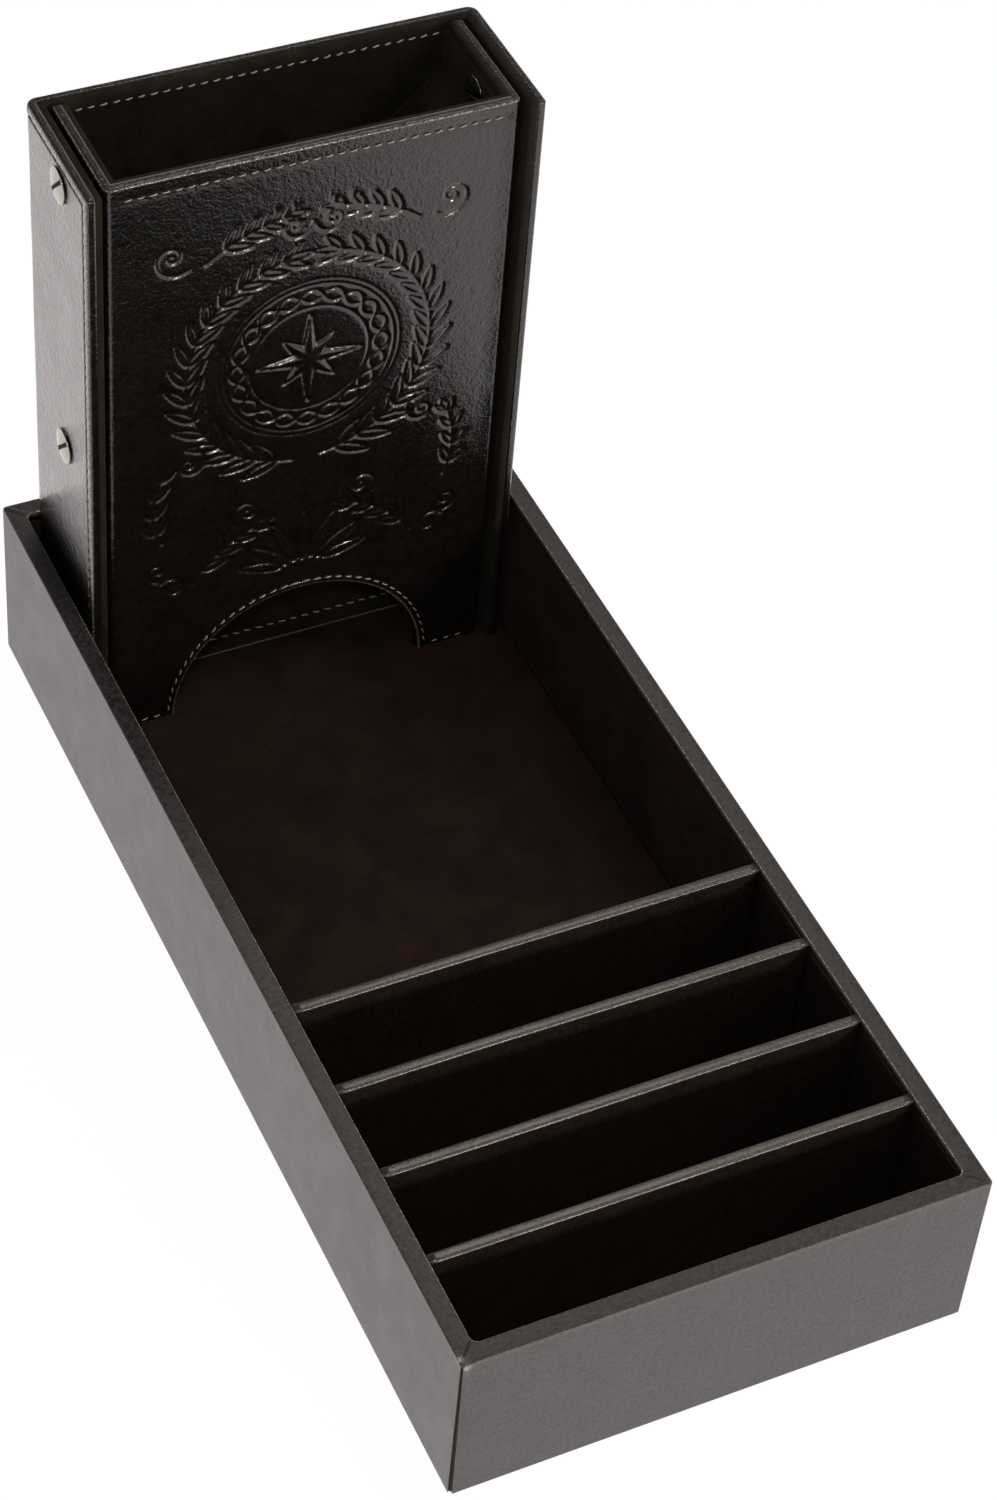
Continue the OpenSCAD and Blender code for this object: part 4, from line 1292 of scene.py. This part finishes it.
def sew(name, rows, width, material):
    """Rows of stitches as one piece: a ring of six points at each of seven stations. A
    station's width falls with the fourth power of its distance from the middle, and so
    does its height above the sheet."""
    start, end, out = (np.concatenate(part) for part in zip(*rows))
    way = (end - start) / 2
    side = np.cross(way, out)
    side /= np.linalg.norm(side, axis=1)[:, None]
    station = np.array([-1, -0.85, -0.5, 0, 0.5, 0.85, 1])
    plump = width / 2 * np.sqrt(1.03 - station ** 4)
    rise = 0.30 * width * (1 - 2.2 * station ** 4)
    turn = np.arange(6) * np.pi / 3
    line = (start + end)[:, None] / 2 + way[:, None] * station[:, None] \
        + out[:, None] * rise[:, None]
    ring = side[:, None] * np.cos(turn)[:, None] + out[:, None] * np.sin(turn)[:, None]
    points = line[:, :, None] + ring[:, None] * plump[:, None, None]
    index = numbered(len(start), len(station), len(turn))
    around = np.concatenate([index, index[..., :1]], -1)
    sides = np.stack([around[:, :-1, :-1], around[:, :-1, 1:], around[:, 1:, 1:],
                      around[:, 1:, :-1]], -1).reshape(-1, 4)
    mesh_piece(name, points, [sides, index[:, 0], index[:, -1, ::-1]], "tower", material)
    print(f"  {len(start)} stitches")


print(f"the outer seam is about {2 * (outer_shell.length + outer_shell.height):.0f} mm long")

# %% The outer shell's seam
far_u, far_v = outer_shell.length - groove_in, outer_shell.height - groove_in
outer_loop = [(groove_in, groove_in), (groove_in, far_v), (far_u, far_v), (far_u, groove_in),
              (groove_in, groove_in)]
sew("outer_shell_stitching",
    [on_shell(outer_shell, outer_loop[k:k + 2], stitch_pitch, dash=2.6, slant=8, t=0.32,
              outward=1) for k in range(4)], 0.5, dark_thread)

# %% The seams of the front panel and of the mouth
# Half lengths, heights and, for the arch, the first stitch's angle
front_half = inner_shell.face - 2.5
back_mid, back_half = outer_shell.length / 2, outer_shell.face - 3.0
top_v = inner_shell.height - stitch_top
back_v = outer_shell.height - 3.4
hem_v = stitch_arch
hem_from = arch_r + 3.4
arch_turn = 3.1513
arch_line = [np.add(polar(arch_r + stitch_arch, turn), (mid_u, 0))
             for turn in np.linspace(arch_turn, 180 - arch_turn, 90)]
front_lines = [[(mid_u - front_half, top_v), (mid_u + front_half, top_v)], arch_line,
               [(mid_u + hem_from, hem_v), (mid_u + front_half, hem_v)],
               [(mid_u - front_half, hem_v), (mid_u - hem_from, hem_v)]]
# Inside the mouth: along the back, then along both flaps of the inner shell
mouth_lines = ((outer_shell, back_mid - back_half, back_mid + back_half, back_v, 2.2, 10),
               (inner_shell, 4.0, mid_u - front_half - 4, top_v, 2.0, 8),
               (inner_shell, mid_u + front_half + 4, inner_shell.length - 4, top_v, 2.0, 8))
mouth_rows = [on_shell(shell, [(first, v), (last, v)], stitch_pitch, dash, slant,
                       shell.wall + 0.02, -1)
              for shell, first, last, v, dash, slant in mouth_lines]
sew("front_panel_stitching",
    [on_shell(inner_shell, line, pitch=3.3, dash=2.1, slant=9, t=0.2, outward=1)
     for line in front_lines], 0.4, glint_grey_thread)
sew("mouth_stitching", mouth_rows, 0.5, glint_grey_thread)

# %% [markdown]
# ## Ramps
#
# Three sheets of board wrapped in cloth steer the dice. Each is glued or clamped by a tab
# along one wall, folds there and slopes down to a round nose, where the cloth turns under.
# A tilted box would do for the board, but the cloth's fold and nose show, so its outline is
# drawn from the side and carried across. The exit ramp shows its hem in the arch: a fold
# whose pile is flattened and smoother, with a pale line painted along its nose as a painted
# highlight, and a row of stitches behind it.

# %% A ramp's cloth
chute_half = inner_shell.half - inner_shell.wall
chute_back = span("outer_cover")[1, 1] - outer_shell.wall
ramp_skin, ramp_t, ramp_hem = 0.8, 3.0, 8.0
slope_rows, nose_rows = 24, 11


def slope_section(wall_at, tab_top, fold, angle, length):
    """Outline of a ramp's cloth, drawn as (way out along +x, height): down the tab, down
    the slope, round the nose, back along the hem, and the same again one skin deeper. Also
    returns which of its points are on the slope's face, and which on the nose's crest."""
    c, s = polar(1, angle)
    bevel = 0.25
    centre = (length - ramp_t / 2, ramp_t / 2)
    slope = np.linspace(0.3, length - ramp_t / 2 - 0.5, slope_rows)
    down = np.concatenate([
        np.stack([slope, np.zeros(slope_rows)], -1), arc(centre, ramp_t / 2, -90, 90, nose_rows),
        [[length - ramp_hem, ramp_t], [length - ramp_hem, ramp_t - ramp_skin]],
        arc(centre, ramp_t / 2 - ramp_skin, 90, -90, 9),
        [[ramp_skin * (s - 1) / c, ramp_skin]]])
    place = np.stack([wall_at - ramp_skin - down[:, 0] * c + down[:, 1] * s,
                      fold - down[:, 0] * s - down[:, 1] * c], -1)
    tab = [[wall_at, tab_top - bevel], [wall_at - bevel, tab_top],
           [wall_at - ramp_skin + bevel, tab_top], [wall_at - ramp_skin, tab_top - bevel],
           [wall_at - ramp_skin, fold + 0.3]]
    row = np.arange(len(tab) + len(down)) - len(tab) - slope_rows
    return np.concatenate([tab, place]), row < -1, (row == 3) | (row == 4)


def ramp_facing(name, node, across, reach, section, on_slope, flattened_and_glint):
    """A ramp's cloth. across is 0 when the ramp falls along X and 1 when along Y; reach is
    its extent the other way."""
    stations, uneven = 25, 0.06
    path, way = np.zeros((2, stations, 2))
    path[:, 1 - across] = np.linspace(*reach, stations)
    way[:, across] = 1
    points = carry(section, path, way)
    points[..., 2] -= uneven * np.abs(ripples(3, 25.0)(points)) * on_slope
    # The nose's crest is marked: smoother pile, painted pale as a painted highlight
    mesh_piece(name, points, capped(*points.shape[:2]), "tower", tower_velvet,
               {"wear_and_glint": np.tile(1.0 * flattened_and_glint, (stations, 1))}, [node])


print(f"the chute is {2 * chute_half:.1f} mm wide")

# %% The two side ramps
side_drop, side_clear, side_tab = 49.0, 4.0, 12.0
side_fall = math.degrees(math.atan(side_drop / (chute_half + side_clear)))
side_long = math.hypot(side_drop, chute_half + side_clear)
for ramp, side in (("upper_ramp", 1), ("middle_ramp", -1)):
    box = span(f"{ramp}_facing")
    section, *rows = slope_section(chute_half, box[1, 2], box[1, 2] - side_tab, side_fall,
                                   side_long)
    ramp_facing(f"{ramp}_velvet", f"{ramp}_facing", 0, span("upper_ramp_facing")[:, 1],
                section * [side, 1], *rows)

# %% The exit ramp and its stitches
box = span("exit_ramp_facing")
exit_tab, exit_out = 10.0, 20.0
exit_fold = box[1, 2] - exit_tab
root = math.sqrt(0.5)
exit_long = (exit_out - ramp_skin - ramp_t / 2 * (1 - root)) / root + ramp_t / 2
ramp_facing("exit_ramp_velvet", "exit_ramp_facing", 1, box[:, 0],
            *slope_section(chute_back, box[1, 2], exit_fold, 45, exit_long))


def slope_row(x_line, down, lift):
    """Stitches across the exit ramp, that far down its slope."""
    ends = [np.stack([e[:, 0], chute_back - ramp_skin - root * (down + e[:, 1] + lift),
                      exit_fold - root * (down + e[:, 1] - lift)], -1)
            for e in stitch_ends(x_line, stitch_pitch, 2.3, 8)]
    return *ends, np.tile([0.0, -root, root], (len(ends[0]), 1))


sew("exit_ramp_stitching", [slope_row([(-48, 0), (48, 0)], exit_long - 4.4, -0.05)], 0.4,
    glint_grey_thread)

# %% [markdown]
# ## Binding posts
#
# The posts are turned from brass and nickel plated: a low domed head with a screwdriver slot
# and a straight rim. A lathe would do for the dome, but the slot needs clean walls, so the
# dome is laid out in strips along the slot: rows of points end on the rim's circle, and
# doubled rows make the slot's edges.

# %% A post's head and shank
head_r, head_rim, head_dome = 5.0, 0.5, 0.8
slot_deep, slot_half = 0.7, 0.6
slot_floor = head_rim + head_dome - slot_deep
shank_r = 2.45


def post_head():
    """A head that stands on z = 0: a dome over a disc, cut by a slot along X, above a rim
    and a flat underside. The dome falls with the square of the distance from its middle.
    Returns points and arrays of faces."""
    face, wall, chamfer = head_r - 0.12, 0.04, 0.08
    lead = np.arcsin((slot_half + 0.12) / face)
    low = face * np.sin(np.linspace(-np.pi / 2, -lead, 10))
    lips = [-slot_half, -slot_half + wall, slot_half - wall, slot_half]
    rows = np.concatenate([low, lips, -low[::-1]])
    share = np.sin(np.linspace(-np.pi / 2, np.pi / 2, 17))
    half = np.sqrt(np.maximum(face ** 2 - rows ** 2, 0))
    x = half[:, None] * share
    y = np.broadcast_to(rows[:, None], x.shape)
    height = head_rim + head_dome * (1 - (x ** 2 + y ** 2) / face ** 2)
    in_slot = (np.abs(rows) < slot_half)[:, None]
    at_lip = (np.abs(rows) == slot_half)[:, None]
    chamfered = np.minimum(height, np.maximum(height - chamfer, slot_floor))
    height = np.where(in_slot, np.minimum(height, slot_floor),
                      np.where(at_lip, chamfered, height))
    index = numbered(*x.shape)
    edge = np.concatenate([index[:, -1], index[::-1, 0]])
    top = np.stack([x, y, height], -1).reshape(-1, 3)
    points, faces, last = [top], [quads(index)], edge
    # Down the rim: how far out from the face and how high each ring lies
    for out, level in ((0.09, 0.46), (0.12, 0.36), (0.12, 0.0)):
        grown = top[edge, :2] * (face + out) / face
        ring = numbered(len(edge), start=sum(map(len, points)))
        points.append(np.insert(grown, 2, level, 1))
        faces.append(band(last, ring))
        last = ring
    return np.concatenate(points), faces + [last[None]]


def post_shank(length):
    """A plain closed rod below z = 0."""
    turn = np.arange(24) * np.pi / 12
    ring = np.stack([shank_r * np.cos(turn), shank_r * np.sin(turn)], -1)
    points = np.concatenate([np.insert(ring, 2, level, 1) for level in (-0.02, -length)])
    index = numbered(2, len(turn))
    return points, [band(*index), index[:1], index[1:, ::-1]]


print("faces of a head:", sum(len(part) for part in post_head()[1]))


# %% The six barrels and the six screws
def posts(name, node, slot_angle, length, seats):
    """Heads and shanks at every seat (x, y, z, way), the head pointing away from the
    shank. The slot's floor is marked for its painted shade."""
    c, s = polar(1, slot_angle)
    points, faces, slot_shade, start = [], [], [], 0
    for x, y, z, way in seats:
        for part, part_faces in (post_head(), post_shank(length)):
            px, py, pz = part.T
            points.append(np.stack([x + way * pz, y + px * s + py * c,
                                    z - way * (px * c - py * s)], -1))
            faces += [f + start for f in part_faces]
            # The slot's floor, marked for painted shade
            slot_shade.append((np.abs(py) < slot_half + 0.02)
                          & (np.abs(pz - slot_floor - 0.02) < 0.06)
                          & (np.hypot(px, py) < head_r - 0.2))
            start += len(part)
    mesh_piece(name, np.concatenate(points), faces, "tower", nickel_plate,
               {"slot_shade": 1.0 * np.concatenate(slot_shade)}, [node])


barrel_box = span("post_barrels")
post_y = barrel_box[:, 1].mean()
heights = np.linspace(barrel_box[0, 2] + head_r, barrel_box[1, 2] - head_r, 3)[::-1]
posts("post_barrels_turned", "post_barrels", slot_angle=-44,
      length=outer_shell.half - chute_half + 0.1,
      seats=[(side * outer_shell.half, post_y, z, side) for side in (-1, 1)
             for z in heights])
# Two of the screws' heads seat on a ramp's tab: (side, row from the top)
on_tab = ((1, 0), (-1, 1))
posts("post_screws_turned", "post_screws", slot_angle=110, length=1.0,
      seats=[(side * (chute_half - ramp_skin * ((side, row) in on_tab)), post_y, z, -side)
             for side in (-1, 1) for row, z in enumerate(heights)])

# %% [markdown]
# ## Floor, light and camera
#
# The photograph was taken from high on the left front, on white. The floor is a pale
# diffuse sheet that catches the shadow. To the camera and in reflections it also glows
# up to white, so the black skin has something white to mirror, as in the studio. A white
# world alone would do that too, but it would light every side alike. What the skin mirrors
# is a trace rosy and the lamps are a little warm, as in the photograph.

# %% Floor and world
def studio_floor():
    """A pale sheet, 6 m wide, in one face."""
    size = 3.0
    mesh = bpy.data.meshes.new("studio_floor")
    mesh.from_pydata([(-size, -size, 0), (size, -size, 0), (size, size, 0), (-size, size, 0)],
                     [], [(0, 1, 2, 3)])
    floor = bpy.data.objects.new("studio_floor", mesh)
    bpy.context.scene.collection.objects.link(floor)
    material, tree, _ = new_material("white_paper_sweep")
    rays = add(tree, "ShaderNodeLightPath").outputs
    mirrored = rays["Is Glossy Ray"]
    seen = rays["Is Camera Ray"]
    for other in (mirrored, rays["Is Transmission Ray"]):
        seen = add(tree, "ShaderNodeMath", (seen, other), operation="MAXIMUM").outputs[0]
    paper = add(tree, "ShaderNodeBsdfDiffuse", {"Color": "#e4e2df"}).outputs[0]
    faint = add(tree, "ShaderNodeBsdfDiffuse", {"Color": "#575757"}).outputs[0]
    shine = add(tree, "ShaderNodeMapRange", (mirrored, 0.0, 1.0, 0.96, 1.18)).outputs[0]
    tint = add(tree, "ShaderNodeMix", {0: mirrored, 6: "#ffffff", 7: "#fff9f8"},
               data_type="RGBA").outputs[2]
    glow = add(tree, "ShaderNodeEmission", {"Color": tint, "Strength": shine}).outputs[0]
    white = add(tree, "ShaderNodeAddShader", (faint, glow)).outputs[0]
    both = add(tree, "ShaderNodeMixShader", (seen, paper, white)).outputs[0]
    add(tree, "ShaderNodeOutputMaterial", {"Surface": both})
    mesh.materials.append(material)


def studio_world():
    """White to the camera. Reflections see it white near the floor and greyer overhead;
    the rest of the light that it gives is soft and even."""
    world = bpy.data.worlds.new("studio_world")
    bpy.context.scene.world = world
    world.use_nodes = True
    tree = world.node_tree
    tree.nodes.clear()
    rays = add(tree, "ShaderNodeLightPath").outputs
    way = add(tree, "ShaderNodeTexCoord").outputs["Generated"]
    up = add(tree, "ShaderNodeSeparateXYZ", (way,)).outputs["Z"]
    ceiling = add(tree, "ShaderNodeMapRange", (up, 0.02, 0.55, 0.85, 0.1)).outputs[0]
    light = add(tree, "ShaderNodeMix", {0: rays["Is Glossy Ray"], 2: 0.3,
                                        3: ceiling}).outputs[0]
    light = add(tree, "ShaderNodeMix", {0: rays["Is Camera Ray"], 2: light, 3: 1.0}).outputs[0]
    tint = add(tree, "ShaderNodeMix", {0: rays["Is Camera Ray"], 6: "#fff9f8", 7: "#ffffff"},
               data_type="RGBA").outputs[2]
    shown = add(tree, "ShaderNodeBackground", {"Color": tint, "Strength": light})
    add(tree, "ShaderNodeOutputWorld", {"Surface": shown.outputs[0]})


studio_floor()
studio_world()
print("floor and world set")


# %% Lamps
def soft_lamp(name, place, aim, size, power):
    """A square soft box that looks at a point. Places and size are in metres."""
    lamp = bpy.data.lights.new(name, "AREA")
    lamp.shape = "RECTANGLE"
    lamp.size = lamp.size_y = size
    lamp.energy = power
    lamp.color = linear("#fff4ea")[:3]
    box = bpy.data.objects.new(name, lamp)
    bpy.context.scene.collection.objects.link(box)
    box.location = place
    box.rotation_euler = (Vector(aim) - Vector(place)).to_track_quat("-Z", "Y").to_euler()


soft_lamp("back_soft_box", (0.38, 0.64, 1.2), (0, 0, 0.06), size=0.45, power=2.5)
soft_lamp("right_soft_box", (0.9, -0.3, 1.0), (0, 0, 0.05), size=0.6, power=4)
soft_lamp("front_spark", (0.35, -1.2, 0.3), (0, 0.1, 0.12), size=0.12, power=5)
soft_lamp("high_spark", (-0.45, -0.8, 1.15), (0, 0, 0.1), size=0.1, power=3)
print("lamps:", len(bpy.data.lights))

# %% Camera
camera_data = bpy.data.cameras.new("camera")
camera = bpy.data.objects.new("camera", camera_data)
bpy.context.scene.collection.objects.link(camera)
camera.location = (-0.30821, -0.57971, 0.75419)
camera.rotation_euler = [math.radians(turn) for turn in (43.992, -4.017, -25.020)]
camera_data.lens = 89.41
camera_data.sensor_width = 36.0
camera_data.shift_x = -0.01464
camera_data.shift_y = 0.00577
bpy.context.scene.camera = camera
bpy.context.scene.view_settings.view_transform = "Standard"
print("camera at", tuple(camera.location))

# %% [markdown]
# ## The nodes that keep their own shape
#
# Boards are cut straight and stay as the frame has them, flat shaded. They only need their
# material: fibreboard for the tray, greyboard for the dividers and the tower, and paper
# under the base. The nodes that a piece above replaces don't show.

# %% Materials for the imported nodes
for node_name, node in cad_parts.items():
    finish = fibreboard if node_name.startswith("tray_") else greyboard
    if node_name == "tray_underside":
        finish = backing_paper
    node.data.materials.clear()
    node.data.materials.append(finish)
    node.data.shade_flat()
print("packed nodes finished:", len(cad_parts))
